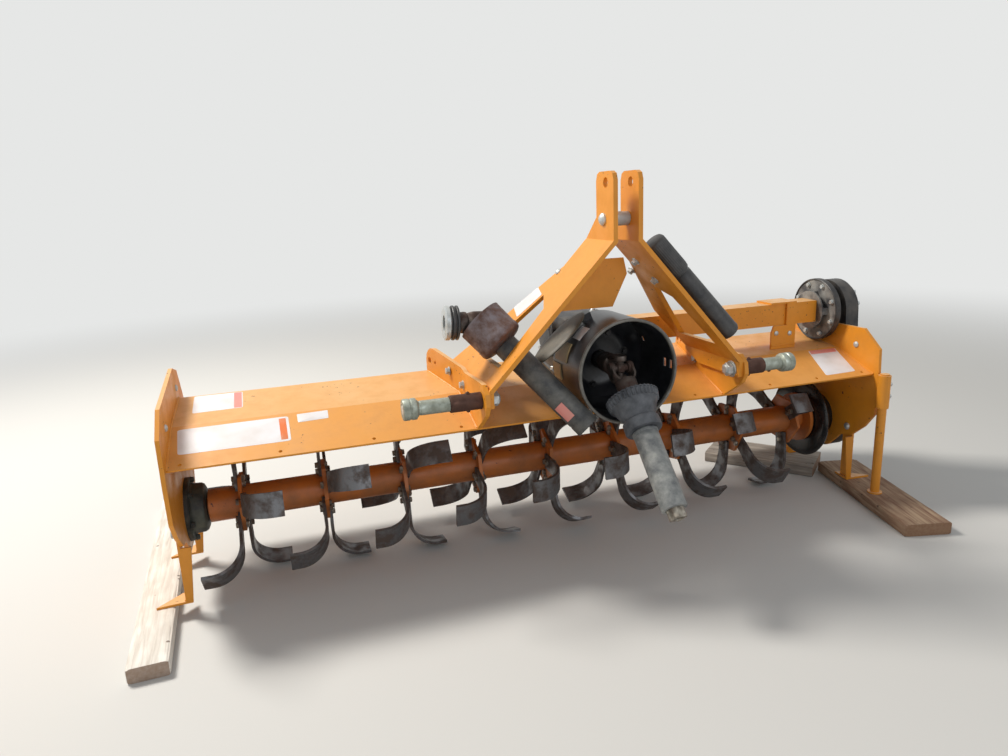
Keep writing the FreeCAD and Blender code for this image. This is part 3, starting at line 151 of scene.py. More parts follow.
soft_lamp("lamp_high_left", (-2.6, 1.7, 4.2), (0.0, 0.0, 0.3), 1.2, 265.0, "#FFF9F0")
soft_lamp("lamp_front", (1.0, -4.5, 2.4), (0.0, 0.0, 0.3), 3.0, 36.0, "#F2F6FF")
surround = bpy.data.worlds.new("surround")
surround.use_nodes = True
sky = surround.node_tree
seen = add_node(sky, "LightPath")
seen_or_mirrored = seen.outputs["Is Camera Ray"]
for way in ("Is Glossy Ray", "Is Transmission Ray"):
    either = add_node(sky, "Math", {"Value": seen_or_mirrored}, operation="MAXIMUM")
    sky.links.new(seen.outputs[way], either.inputs[1])
    seen_or_mirrored = either.outputs["Value"]
strength = add_node(sky, "MapRange", {
    "Value": seen_or_mirrored, "To Min": 0.46, "To Max": 1.0})
sky.nodes["Background"].inputs["Color"].default_value = linear(backdrop)
sky.links.new(strength.outputs[0], sky.nodes["Background"].inputs["Strength"])
bpy.context.scene.world = surround
bpy.context.scene.view_settings.view_transform = "Standard"


# Planks: sawn softwood under the legs and the stand. The left one is bleached nearly white, the
# right one brown and the rear one grey. Their edges are worn, and their ends sawn square.
MM = 0.001


def grid_faces(rows, columns):
    """Faces of a grid that closes round: one quad between neighbouring rows and columns."""
    row, column = np.mgrid[0:rows - 1, 0:columns]
    onward = (column + 1) % columns
    corners = (row * columns + column, row * columns + onward,
               (row + 1) * columns + onward, (row + 1) * columns + column)
    return np.stack(corners, axis=-1).reshape(-1, 4)


def skin(points):
    """A surface from its points in rows and columns; a row that is one point closes an end."""
    rows, columns = points.shape[:2]
    return points.reshape(-1, 3), grid_faces(rows, columns)


def set_piece(name, mesh, material, stands_for, body):
    """A mesh's object: it rides on its body, has its slot, and may stand for CAD nodes."""
    mesh.materials.append(material)
    piece = bpy.data.objects.new(name, mesh)
    bpy.context.scene.collection.objects.link(piece)
    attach(piece, body)
    if stands_for:
        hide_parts(*stands_for)
    return piece


def make_piece(name, surfaces, material, stands_for=(), body="frame", edge=32.0):
    """One piece from closed surfaces in millimetres: meeting points are merged, faces turned
    outwards, and edges sharper than an angle kept crisp. Most pieces ride on the frame."""
    starts = np.cumsum([0] + [len(points) for points, _ in surfaces])
    faces = [quad for start, (_, quads) in zip(starts, surfaces)
             for quad in (quads + start).tolist()]
    mesh = bpy.data.meshes.new(name)
    points = np.concatenate([points for points, _ in surfaces]) * MM
    mesh.from_pydata(points.tolist(), [], faces)
    merged = bmesh.new()
    merged.from_mesh(mesh)
    bmesh.ops.remove_doubles(merged, verts=merged.verts, dist=0.005 * MM)
    bmesh.ops.recalc_face_normals(merged, faces=merged.faces)
    merged.to_mesh(mesh)
    merged.free()
    mesh.shade_smooth()
    mesh.set_sharp_from_angle(angle=math.radians(edge))
    set_piece(name, mesh, material, stands_for, body)


def clouds(tree, place, size, low, high, share=1.0, **more):
    """A cloudy pattern with spots of a size in millimetres: its noise, and the share of it that
    shows, from none at a low level of the noise to all at a high one."""
    noise = add_node(tree, "TexNoise", {"Vector": place, "Scale": 1000 / size, **more})
    return noise, add_node(tree, "MapRange", {
        "Value": noise, "From Min": low, "From Max": high, "To Max": share})


def sawn_timber(name, pale, dark, turn):
    """Softwood, sawn and weathered: grain lines some 9 mm wide and 14 times as long, dark patches
    a hand wide, small dents and browner sawn ends; turn is the plank's own direction."""
    material, tree, place = new_finish(name)
    lengthways = add_node(tree, "Mapping", {
        "Vector": place, "Rotation": (0.0, 0.0, math.radians(turn)),
        "Scale": (1.0, 14.0, 1.0)}, vector_type="TEXTURE")
    grain, lines = clouds(tree, lengthways, 9, 0.38, 0.68, Detail=4.0, Distortion=0.4)
    wet = clouds(tree, place, 110, 0.45, 0.75, 0.75, Detail=4.0)[1]
    dents = add_node(tree, "TexVoronoi", {"Vector": place, "Scale": 1000 / 48})
    dent = add_node(tree, "MapRange", {
        "Value": dents, "From Min": 0.07, "From Max": 0.11, "To Min": 0.8, "To Max": 0.0})
    grained = add_node(tree, "Mix", {"Factor": lines, "A": pale, "B": dark}, data_type="RGBA")
    stained = add_node(tree, "Mix", {"Factor": wet, "A": grained, "B": dark}, data_type="RGBA")
    dented = add_node(tree, "Mix", {"Factor": dent, "A": stained, "B": "#5E4A3A"}, data_type="RGBA")
    length_way = (-math.sin(math.radians(turn)), math.cos(math.radians(turn)), 0.0)
    facing = add_node(tree, "VectorMath", {
        "Vector": add_node(tree, "NewGeometry").outputs["Normal"]},
        operation="DOT_PRODUCT")
    facing.inputs[1].default_value = length_way
    end_on = add_node(tree, "Math", {"Value": facing.outputs["Value"]},
                      operation="ABSOLUTE")
    end_share = add_node(tree, "MapRange", {
        "Value": end_on, "From Min": 0.85, "From Max": 0.97, "To Max": 0.75})
    sawn_end = add_node(tree, "Mix", {
        "Factor": end_share, "A": dented, "B": "#8C6A50"}, data_type="RGBA")
    coat(tree, {"Base Color": sawn_end, "Roughness": 0.85, "Normal": add_node(
        tree, "Bump", {"Height": grain, "Distance": 0.0015})})
    return material


def rounded(angle, power):
    """Cosine and sine of an angle, both raised to a power with their signs kept: the outline
    of a square whose corners the power rounds."""
    way = np.stack([np.cos(angle), np.sin(angle)])
    return np.sign(way) * np.abs(way) ** power


def worn_board(node, turn, material):
    """A board in place of its plain solid: a rectangle with corners rounded by a 12th power is
    carried from end to end, and worn back by up to 2 mm along its edges in slow waves."""
    spin = np.array([(math.cos(turn), -math.sin(turn)), (math.sin(turn), math.cos(turn))])
    solid = np.empty(3 * len(nodes[node].data.vertices))
    nodes[node].data.vertices.foreach_get("co", solid)
    solid = solid.reshape(-1, 3) / MM
    solid[:, :2] = solid[:, :2] @ spin
    low, high = solid.min(axis=0), solid.max(axis=0)
    middle, half = (low + high) / 2, (high - low) / 2
    station = np.r_[-1, -1, np.linspace(-0.995, 0.995, 60), 1, 1]
    scale = np.r_[0, 0.97, np.ones(60), 0.97, 0][:, None]
    angle = np.linspace(0, 2 * np.pi, 64, endpoint=False)
    wide, tall = rounded(angle, 1 / 6)
    edge = np.abs(np.sin(2 * angle)) ** 6
    waves = 1 + np.sin(9 * station[:, None] + 2 * angle) * np.cos(23 * station[:, None] - angle)
    worn = 1.0 * edge * waves
    points = np.empty((len(station), len(angle), 3))
    points[..., 0] = middle[0] + wide * (half[0] - worn) * scale
    points[..., 1] = middle[1] + station[:, None] * half[1]
    points[..., 2] = middle[2] + tall * (half[2] - worn) * scale
    points[..., :2] = points[..., :2] @ spin.T
    make_piece(node + "_board", [skin(points)], material, [node], edge=40)


for node, degrees, name, pale, dark in (
        ("plank_left", 3.0, "bleached_softwood", "#EFEBE4", "#C9C2B8"),
        ("plank_right", -14.5, "weathered_softwood", "#B39A80", "#7C5C48"),
        ("plank_rear", 41.0, "grey_softwood", "#ABA297", "#7C736B")):
    worn_board(node, math.radians(degrees), sawn_timber(name, pale, dark, degrees))


# Hood, side plates and legs: sheet and plate in one orange enamel, sprayed on, paler on top with
# sun-bleached paint and a painted highlight, and dusted with soil below. The plates are bolted and
# welded to the hood's ends.
def paint(names, material):
    """Give a material to CAD nodes."""
    for name in names:
        for slot in nodes[name].material_slots:
            slot.material = material


def orange_enamel(name, body, bleached_and_lit_colour, soil, soil_share, bleached_and_lit_share):
    """Sprayed enamel: paler on faces that look up, partly sun-bleached paint and partly a painted
    highlight, soil dust in 60 mm clouds, and paint chips 5 mm across, down to rust, gathered in
    some places."""
    material, tree, place = new_finish(name)
    facing = add_node(tree, "SeparateXYZ", {
        "Vector": add_node(tree, "NewGeometry").outputs["Normal"]}).outputs["Z"]
    cloud, battered = clouds(tree, place, 160, 0.55, 0.62, Detail=3.0)
    dust, dusty = clouds(tree, place, 60, 0.42, 0.72, soil_share, Detail=7.0, Roughness=0.6)
    chip = clouds(tree, place, 9, 0.69, 0.71, Detail=2.0)[1]
    # Faces that look up take the paler top colour: partly sun-bleached paint, partly a painted
    # highlight of the light on top.
    upward = add_node(tree, "MapRange", {
        "Value": facing, "From Min": 0.90, "From Max": 0.995, "To Max": bleached_and_lit_share})
    uneven = add_node(tree, "MapRange", {
        "Value": cloud, "From Min": 0.3, "From Max": 0.7, "To Min": 0.7})
    top_paling = add_node(tree, "Math", {"Value": upward}, operation="MULTIPLY")
    tree.links.new(uneven.outputs[0], top_paling.inputs[1])
    bleached_and_lit_paint = add_node(tree, "Mix", {"Factor": top_paling, "A": body, "B": bleached_and_lit_colour}, data_type="RGBA")
    soiled = add_node(tree, "Mix", {"Factor": dusty, "A": bleached_and_lit_paint, "B": soil}, data_type="RGBA")
    bare = add_node(tree, "Math", {"Value": chip}, operation="MULTIPLY")
    tree.links.new(battered.outputs[0], bare.inputs[1])
    worn = add_node(tree, "Mix", {"Factor": bare, "A": soiled, "B": "#4A2A1C"}, data_type="RGBA")
    gloss = add_node(tree, "MapRange", {
        "Value": dust, "From Min": 0.35, "From Max": 0.7, "To Min": 0.34, "To Max": 0.62})
    uneven_coat = add_node(tree, "Bump", {"Height": dust, "Distance": 0.0002})
    coat(tree, {"Base Color": worn, "Roughness": gloss, "Normal": add_node(
        tree, "Bump", {"Height": bare, "Distance": 0.0004, "Normal": uneven_coat},
        invert=True)})
    return material


# The third colour is the paler top: sun-bleached paint with a painted highlight for faces that look
# up.
enamel = orange_enamel("orange_enamel", "#E09224", "#E0B47C", "#A8703C", 0.26, 0.85)
paint(["hood", "side_plate_left", "side_plate_right", "leg_left_front", "leg_left_rear",
       "leg_right_front", "leg_right_rear", "tailgate"], enamel)


def unit(ways):
    """A direction, or rows of directions, divided by its length."""
    return ways / np.linalg.norm(ways, axis=-1, keepdims=True)


def axes_along(directions):
    """Unit vectors of directions, with two more to each, square to it and to each other."""
    askew = (0.31, 0.52, 0.79)
    axis = unit(np.array(directions, float))
    side = unit(np.cross(axis, askew))
    return axis, side, np.cross(axis, side)


def turned(profile, base, direction, sides=48, flutes=0):
    """A turned surface: pairs of distance and radius, carried round an axis from its base. A
    third number in a pair makes its radius dip by so much in a round of flutes."""
    axis, side, up = axes_along(direction)
    rows = np.array([(*pair, 0.0)[:3] for pair in profile], float)
    angle = np.linspace(0, 2 * np.pi, sides, endpoint=False)
    dip = (0.5 - 0.5 * np.tanh(2.5 * np.cos(flutes * angle))) * rows[:, 2:]
    radius = (rows[:, 1:2] - dip)[..., None]
    ring = np.cos(angle)[:, None] * side + np.sin(angle)[:, None] * up
    return skin(np.array(base, float) + rows[:, :1, None] * axis + radius * ring)


def weld_bead(start, end, size):
    """A weld along a joint: a thin rod whose radius swells and sinks by a fifth every 5 mm."""
    start, end = np.array(start, float), np.array(end, float)
    length = np.linalg.norm(end - start)
    along = np.linspace(0, length, max(8, int(length / 1.6)))
    radius = size * (0.9 + 0.1 * np.sin(along * 2 * np.pi / 5.0))
    return turned([(0, 0), *zip(along, radius), (length, 0)], start, end - start, sides=8)


def hex_bolt(across, height, washer):
    """A bolt's head on its washer, drawn up from the origin: six sides and a chamfered crown."""
    corner = across / math.sqrt(3)
    disc = turned([(0, 0), (0, washer), (2, washer), (2, 0)], (0, 0, 0), (0, 0, 1), sides=12)
    head = turned([(2, 0), (2, corner), (height, corner), (height + 1.2, corner * 0.84),
                   (height + 1.2, 0)], (0, 0, 0), (0, 0, 1), sides=6)
    return np.concatenate([disc[0], head[0]]), np.concatenate([disc[1], head[1] + len(disc[0])])


def dome_bolt(radius, height):
    """A round-headed bolt, drawn up from the origin: the head is a flattened dome."""
    return turned([(0, 0), (0, radius), (height * 0.35, radius * 0.97),
                   (height * 0.8, radius * 0.6), (height, 0)], (0, 0, 0), (0, 0, 1), sides=14)


def planted(template, places, directions):
    """Copies of a bolt that was drawn along Z, one at each place, turned to its direction."""
    points, faces = template
    places = np.array(places, float)
    axis, side, up = axes_along(np.broadcast_to(directions, places.shape))
    spread = (places[:, None] + points[:, 0, None] * side[:, None]
              + points[:, 1, None] * up[:, None] + points[:, 2, None] * axis[:, None])
    number = np.arange(len(places))[:, None, None] * len(points)
    return spread.reshape(-1, 3), (faces + number).reshape(-1, 4)


def filmed_steel(name, bright, rust, rust_share):
    """Bare or plated steel: grey metal under a rust film that comes and goes over 25 mm."""
    material, tree, place = new_finish(name)
    film, share = clouds(tree, place, 25, 0.35, 0.62, rust_share, Detail=8.0, Roughness=0.6)
    colour = add_node(tree, "Mix", {"Factor": share, "A": bright, "B": rust}, data_type="RGBA")
    metal = add_node(tree, "MapRange", {"Value": share, "To Min": 0.85, "To Max": 0.05})
    rough = add_node(tree, "MapRange", {"Value": share, "To Min": 0.35, "To Max": 0.85})
    coat(tree, {"Base Color": colour, "Metallic": metal, "Roughness": rough, "Normal": add_node(
        tree, "Bump", {"Height": film, "Distance": 0.0003})})
    return material


hood_folds = np.array([(-232, 419), (-71, 478), (126, 505), (236, 414)])
hood_half = 1016.0
plate_face = hood_half + 10
zinc = filmed_steel("zinc_plated_steel", "#CDD2D4", "#8C8A7E", 0.5)
yellow_zinc = filmed_steel("yellow_passivated_zinc", "#AEB5AB", "#6C6E5E", 0.6)
make_piece("hood_welds", [
    weld_bead((x, *start), (x, *end), 4.0)
    for x in (-hood_half, hood_half) for start, end in zip(hood_folds, hood_folds[1:])],
    enamel)


def zinc_bolts(name, groups):
    """Bolts that hold pieces of the frame, zinc plated."""
    make_piece(name, groups, zinc)


zinc_bolts("side_plate_bolts", [
    planted(dome_bolt(9, 6), [(-hood_half, -146, 499), (-hood_half, 103, 539)], (1, 0, 0)),
    planted(hex_bolt(17, 10, 13), [(-plate_face, -146, 499), (-plate_face, 103, 539)], (-1, 0, 0)),
    planted(dome_bolt(10, 7), [(hood_half, -154, 499)], (-1, 0, 0)),
    planted(hex_bolt(17, 10, 13), [(plate_face, -154, 499)], (1, 0, 0)),
    planted(dome_bolt(12, 8), [(hood_half, -142, 222)], (-1, 0, 0)),
])


# Stickers: blank white foil on the hood's folds, three of them with a coloured band along one
# edge. They are stuck on, and so thin that they only show as an edge.
def printed_foil_and_painted_reflection(name, colour):
    """Printed foil on steel, and a painted reflection on the guard: a plain colour, dulled by dust
    in 70 mm clouds.
    """
    material, tree, place = new_finish(name)
    share = clouds(tree, place, 70, 0.4, 0.75, 0.35, Detail=5.0)[1]
    tone = add_node(tree, "Mix", {"Factor": share, "A": colour, "B": "#B9A995"}, data_type="RGBA")
    coat(tree, {"Base Color": tone, "Roughness": 0.38})
    return material


def foil(corners, sides, power, start=0.0, end=1.0, inset=0.0):
    """Points of a foil: a square's outline, rounded by a power, in rings that spread from its
    middle over four corners. Start and end pick a band of it from left to right, and inset
    keeps the band off the foil's long edges by a share of its width."""
    wide, tall = rounded(np.linspace(0, 2 * np.pi, sides, endpoint=False), power)
    scale = np.array([0, 0.98, 1, 1, 0])[:, None]
    across = (start + (end - start) * (0.5 + 0.5 * scale * wide))[..., None]
    down = (0.5 - (0.5 - inset) * scale * tall)[..., None]
    upper_left, upper_right, lower_right, lower_left = np.array(corners, float)
    top = upper_left + across * (upper_right - upper_left)
    low = lower_left + across * (lower_right - lower_left)
    return top + down * (low - top)


def sticker(corners, start=0.0, end=1.0, inset=0.0, lift=0.5):
    """A foil laid on the hood's folds, lifted off them, with its back just inside the sheet."""
    flat = foil(corners, 64, 1 / 12, start, end, inset)
    height = np.array([lift, lift, lift * 0.6, -0.2, -0.2])[:, None]
    level = np.interp(flat[..., 1], *hood_folds.T) + height
    return skin(np.concatenate([flat, level[..., None]], axis=-1))


deck_sticker = [(-975, 122), (-849, 119), (-846, 6), (-972, 3)]
slope_sticker = [(-1000, -85), (-734, -83), (-732, -181), (-994, -180)]
small_sticker = [(-712, -80), (-633, -78), (-634, -111), (-711, -114)]
right_sticker = [(896, -78), (1000, -80), (970, -207), (857, -209)]
foil_white = printed_foil_and_painted_reflection("white_printed_foil", "#E9E8EC")
foil_pink = printed_foil_and_painted_reflection("faded_red_printed_foil", "#E58B83")
foil_orange = printed_foil_and_painted_reflection("orange_printed_foil", "#E0702C")
make_piece("stickers", [sticker(corners) for corners in (
    deck_sticker, slope_sticker, small_sticker, right_sticker)], foil_white)
right_band = [right_sticker[0], right_sticker[1], (994, -100), (889, -99)]
make_piece("sticker_bands_red", [sticker(deck_sticker, 0.82, 0.98, 0.02, 0.9),
                                 sticker(right_band, 0.03, 0.97, 0.04, 0.9)],
           foil_pink)
make_piece("sticker_band_orange", [sticker(slope_sticker, 0.91, 0.975, 0.07, 0.9)],
           foil_orange)


# Legs and parking stand: flats bolted outside the side plates, welded to three-cornered feet,
# and a tube that two bolts hold in its sleeve.
paint(["parking_stand", "stand_sleeve"], enamel)
leg_face = plate_face + 6
leg_fronts = [(sign, front) for sign in (-1, 1) for front in (-158.0, 126.0)]
zinc_bolts("leg_bolts", [
    planted(hex_bolt(19, 11, 14), [(sign * leg_face, front + 21, z) for z in (222, 246)],
            (sign, 0, 0)) for sign, front in leg_fronts])
make_piece("leg_welds", [
    weld_bead((sign * leg_face, front + 2, 45), (sign * leg_face, front + 40, 45), 3.5)
    for sign, front in leg_fronts], enamel)
sleeve_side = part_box("stand_sleeve")[1][0] / MM
stand_y = np.mean(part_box("parking_stand"), axis=0)[1] / MM
zinc_bolts("stand_bolts", [planted(hex_bolt(13, 8, 9), [
    (sleeve_side - 0.5, stand_y, 392), (sleeve_side - 0.5, stand_y, 354)], (1, 0, 0))])


# Rotor: a tube with welded flanges. Each flange carries six forged tines, three on each face,
# but the last one only three. A tine is on two bolts, with their nuts on the other face.
rotor_height = 228.0
# The rotor's third colour is its paler top: sun-bleached paint with a painted highlight.
paint(["rotor_shaft"], orange_enamel(
    "orange_enamel_soiled", "#B8682A", "#BC7C44", "#80583A", 0.65, 0.5))


def soil_worn_steel():
    """Forged spring steel, rubbed half bright by soil: clay and rust in 40 mm patches."""
    material, tree, place = new_finish("soil_worn_spring_steel")
    share = clouds(tree, place, 40, 0.42, 0.60, Detail=7.0, Roughness=0.6)[1]
    pits = add_node(tree, "TexNoise", {"Vector": place, "Scale": 1000 / 5, "Detail": 2.0})
    colour = add_node(tree, "Mix", {"Factor": share, "A": "#6F6F71", "B": "#4C403A"}, data_type="RGBA")
    metal = add_node(tree, "MapRange", {"Value": share, "To Min": 0.8, "To Max": 0.1})
    rough = add_node(tree, "MapRange", {"Value": share, "To Min": 0.4, "To Max": 0.8})
    coat(tree, {"Base Color": colour, "Metallic": metal, "Roughness": rough, "Normal": add_node(
        tree, "Bump", {"Height": pits, "Distance": 0.0004})})
    return material


flange_count = 9
paint([f"tines_{number + 1}" for number in range(flange_count)], soil_worn_steel())
flange_x = np.linspace(-hood_half + 138, hood_half - 142, flange_count)
first_angle, angle_step = 39.5, -9.5
bolt_radii = np.array([53.0, 71.0])
heads, nuts = [], []
for index, x in enumerate(flange_x):
    last = index == flange_count - 1
    for number in range(3 if last else 6):
        turn = number * (120 if last else 60)
        on_left = last or number % 2 == 0
        angle = math.radians(first_angle + index * angle_step + turn)
        spots = np.c_[np.full(2, x), -bolt_radii * math.cos(angle),
                      rotor_height - bolt_radii * math.sin(angle)]
        outward = -1 if on_left else 1
        heads.append((spots + (outward * 13, 0, 0), outward))
        nuts.append((spots + (-outward * 5, 0, 0), -outward))
make_piece("tine_bolts", [
    planted(hex_bolt(14, 7, 9), np.concatenate([spots for spots, _ in group]),
            np.array([(way, 0, 0) for _, way in group for _ in range(2)]))
    for group in (heads, nuts)],
           filmed_steel("soiled_tine_bolt_steel", "#9A9488", "#5E4636", 0.9),
           body="rotor")


# Rotor ends: a cast bearing housing bolted inside the left side plate, and on the right a wide
# cast dish round the drive, both in black enamel, greasy and grey with dust.
def black_casting(name, body, dust_colour, dust_share, roughness):
    """Cast iron under black enamel: a 4 mm sand grain under grey dust in 45 mm clouds."""
    material, tree, place = new_finish(name)
    share = clouds(tree, place, 45, 0.4, 0.75, dust_share, Detail=6.0)[1]
    grain = add_node(tree, "TexNoise", {"Vector": place, "Scale": 1000 / 4, "Detail": 2.0})
    colour = add_node(tree, "Mix", {"Factor": share, "A": body, "B": dust_colour}, data_type="RGBA")
    coat(tree, {"Base Color": colour, "Roughness": roughness, "Normal": add_node(
        tree, "Bump", {"Height": grain, "Distance": 0.0003})})
    return material


def closed(profile):
    """A profile whose end is joined to its start, for a part with a bore."""
    return [*profile, profile[0]]


casting = black_casting("black_enamelled_casting", "#1C1C1F", "#6B655E", 0.55, 0.45)
glossy_casting = black_casting("glossy_black_casting", "#121214", "#4A4744", 0.4, 0.25)
housing = turned(closed([(0, 23), (0, 85), (9, 85), (12, 82), (12, 72), (16, 67), (38, 66),
                         (45, 62), (49, 54), (49, 23)]),
                 (-hood_half, 0, rotor_height), (1, 0, 0), sides=72)
dusty_casting = black_casting("green_dusted_casting", "#232523", "#66695C", 0.85, 0.6)
make_piece("bearing_housing", [housing], dusty_casting,
           ["rotor_bearing_left"])


def bolt_arc(centre, radius, first, step, count):
    """Places on an arc round an axis along X: the first angle, then steps, in degrees."""
    turn = np.radians(first + step * np.arange(count))
    return np.array(centre) + radius * np.c_[np.zeros(count), np.cos(turn), np.sin(turn)]


make_piece("bearing_bolts", [planted(
    hex_bolt(13, 8, 9), bolt_arc((-hood_half + 12, 0, rotor_height), 77, 12, 60, 6), (1, 0, 0))],
    dusty_casting)
hub_start = hood_half - 79
dish = turned(closed([(0, 23), (0, 116), (1.5, 127), (5, 133.5), (8, 136), (13, 133.5), (16, 128),
                      (17, 104), (22, 84), (30, 77), (79, 75), (79, 23)]),
              (hub_start, 0, rotor_height), (1, 0, 0), sides=96)
make_piece("rotor_drive_dish", [dish], glossy_casting,
           ["rotor_hub_right"])


# Side drive: a cast case with a bolted cover outside the right side plate. A cast drum on its
# shaft's neck, with a cage of four ribs, joins it to the square tube from the gearbox.
paint(["drive_case"], casting)
# The drum's casting is paler than the other black castings: pale dust, and partly a painted highlight
# for the light on its face.
paint(["drive_drum"], black_casting("dusty_and_lit_black_casting", "#454446", "#ACAAA4", 0.85, 0.5))
paint(["drive_tube", "drive_bracket"], enamel)
drive_axis = np.array((0.0, 6.0, 595.0))
case_face = plate_face + 58
case_ends = np.array([(case_face, 0.0, rotor_height), (case_face, *drive_axis[1:])])
around_case = np.concatenate([
    bolt_arc(case_ends[0], 94, 195, 30, 6),
    bolt_arc(case_ends[1], 78, 15, 30, 6),
    np.array([(case_face, side * wide, high) for side in (-1, 1)
              for wide, high in ((92, 300), (87, 400), (83, 500))], float),
])
zinc_bolts("case_bolts", [planted(hex_bolt(13, 8, 9), around_case, (1, 0, 0))])
cap = [(-2, 0), (-2, 52), (4, 51), (6, 48), (6, 30), (9, 27), (10, 0)]
make_piece("case_caps", [turned(cap, centre, (1, 0, 0), sides=64) for centre in case_ends],
           casting)
drum_face = hood_half - 56 + 24
drum_rim = turned(closed([(-2, 97), (-3, 99), (-1.5, 101.5), (8, 102), (17, 101.5), (18.5, 99),
                          (17, 97), (8, 96)]), drive_axis + (drum_face, 0, 0), (1, 0, 0), sides=96)
make_piece("drum_rim", [drum_rim], casting)
zinc_bolts("drum_bolts", [planted(
    hex_bolt(12, 7, 8), bolt_arc(drive_axis + (drum_face, 0, 0), 84, 22.5, 45, 8), (-1, 0, 0))])
bracket_right = hood_half - 139
bracket_face = drive_axis[1] - 35 - 6
zinc_bolts("bracket_bolts", [
    planted(dome_bolt(8, 6), [(bracket_right - 22, bracket_face, 532),
                              (bracket_right - 74, bracket_face, 536)], (0, -1, 0))])
make_piece("bracket_welds", [
    weld_bead((bracket_right - 90, bracket_face, 496), (bracket_right, bracket_face, 496), 3.0),
    weld_bead((bracket_right - 36, bracket_face, 560), (bracket_right - 36, bracket_face, 634), 2.5),
], enamel)


# Gearbox: a cast housing with drafted sides and a crowned lid, bolted to the deck through its
# foot, with a round bearing cover on each side, a hexagon oil plug and a breather on the lid.
hitch_x = 110.0
gearbox_y = -13.0
lid_z = 666.0


def gearbox_housing():
    """A rounded rectangle, its corners by a 7th power, in rows from the foot on the hood to the
    lid; each row has its own size and its share of the way up from the hood to the lid."""
    share = np.array([0, 0, 0.07, 0.09, 0.5, 0.8, 0.86, 0.93, 0.98, 1.0, 1.0])[:, None]
    scale = np.array([0, 1, 1, 0.93, 0.92, 0.90, 0.95, 0.95, 0.9, 0.78, 0])[:, None]
    angle = np.linspace(0, 2 * np.pi, 96, endpoint=False)
    wide, deep = rounded(angle, 2 / 7)
    points = np.empty((len(share), len(angle), 3))
    points[..., 0] = hitch_x + 86 * wide * scale
    points[..., 1] = gearbox_y + 114 * deep * scale
    deck = np.interp(points[..., 1], *hood_folds.T)
    points[..., 2] = deck + share * (lid_z - deck)
    return skin(points)


cover = [(0, 0), (0, 61), (14, 61), (17, 58), (18, 47), (20, 44), (20, 0)]
sides_of_box = ((hitch_x - 95, 1), (hitch_x + 95, -1))
make_piece("gearbox_casting", [gearbox_housing()] + [
    turned(cover, (x + sign * 20, *drive_axis[1:]), (-sign, 0, 0), sides=72)
    for x, sign in sides_of_box], casting, ["gearbox"])
foot_spots = [(hitch_x + side * 76, y, np.interp(y, *hood_folds.T) + 12)
              for side in (-1, 1) for y in (gearbox_y - 87, gearbox_y, gearbox_y + 87)]
zinc_bolts("gearbox_bolts", [
    planted(hex_bolt(16, 9, 11), foot_spots, (0, 0, 1)),
    *[planted(hex_bolt(13, 7, 9), bolt_arc((x + sign * 3, *drive_axis[1:]), 52, 12, 60, 6),
              (-sign, 0, 0)) for x, sign in sides_of_box],
    planted(hex_bolt(24, 10, 16), [(hitch_x - 30, 40, lid_z - 1)], (0, 0, 1)),
    planted(dome_bolt(11, 16), [(hitch_x + 34, -60, lid_z - 1)], (0, 0, 1)),
])


# Guard: a moulded black drum round the joint, open to the front with a rolled lip, slotted on
# its right and bolted to the gearbox through its back. Its bottom lies on the hood.
def moulded_polyethylene(name, body, dust_colour, dust_share, roughness=0.42):
    """Moulded polyethylene: a soft low gloss, dust in 40 mm clouds and 6 mm scuffs."""
    material, tree, place = new_finish(name)
    share = clouds(tree, place, 40, 0.35, 0.75, dust_share, Detail=7.0, Roughness=0.62)[1]
    scuffs = add_node(tree, "TexNoise", {"Vector": place, "Scale": 1000 / 6, "Detail": 3.0})
    colour = add_node(tree, "Mix", {"Factor": share, "A": body, "B": dust_colour}, data_type="RGBA")
    coat(tree, {"Base Color": colour, "Roughness": roughness, "IOR": 1.51, "Normal": add_node(
        tree, "Bump", {"Height": scuffs, "Distance": 0.0002})})
    return material


guard_plastic = moulded_polyethylene("guard_polyethylene", "#15161A", "#45474D", 0.45, 0.3)
lip_plastic = moulded_polyethylene("scuffed_lip_polyethylene", "#55534F", "#8E8A82", 0.8, 0.5)
guard_axis = np.array((hitch_x, 0.0, 554.0))
guard_front, guard_back, guard_radius, guard_wall = -354.0, -168.0, 136.0, 4.0
slots = ((-306, -292, -4, 6), (-337, -323, -4, 6), (-200, -188, 18, 25))


def guard_shell():
    """The drum's wall: an open cylinder in rows from lip to back, its points lifted to the hood
    where it would sink below, and left open at the slots; Solidify gives it its wall."""
    station = np.unique(np.r_[np.linspace(guard_front + 4, guard_back, 48),
                              [edge for slot in slots for edge in slot[:2]]])
    angle = np.unique(np.r_[np.arange(0, 360, 2.5),
                            [edge % 360 for slot in slots for edge in slot[2:]]])
    turn = np.radians(angle)
    points = np.empty((len(station), len(angle), 3))
    points[..., 0] = guard_axis[0] + guard_radius * np.cos(turn)
    points[..., 1] = station[:, None]
    points[..., 2] = guard_axis[2] + guard_radius * np.sin(turn)
    hood = np.interp(station, *hood_folds.T, left=0)[:, None] + 0.4
    points[..., 2] = np.maximum(points[..., 2], hood)
    flat, faces = skin(points)
    middle = flat[faces].mean(axis=1)
    at = np.degrees(np.arctan2(middle[:, 2] - guard_axis[2], middle[:, 0] - guard_axis[0]))
    kept = np.ones(len(faces), bool)
    for front, back, low, high in slots:
        kept &= ~((middle[:, 1] > front) & (middle[:, 1] < back) & (at > low) & (at < high))
    return flat, faces[kept][:, ::-1]


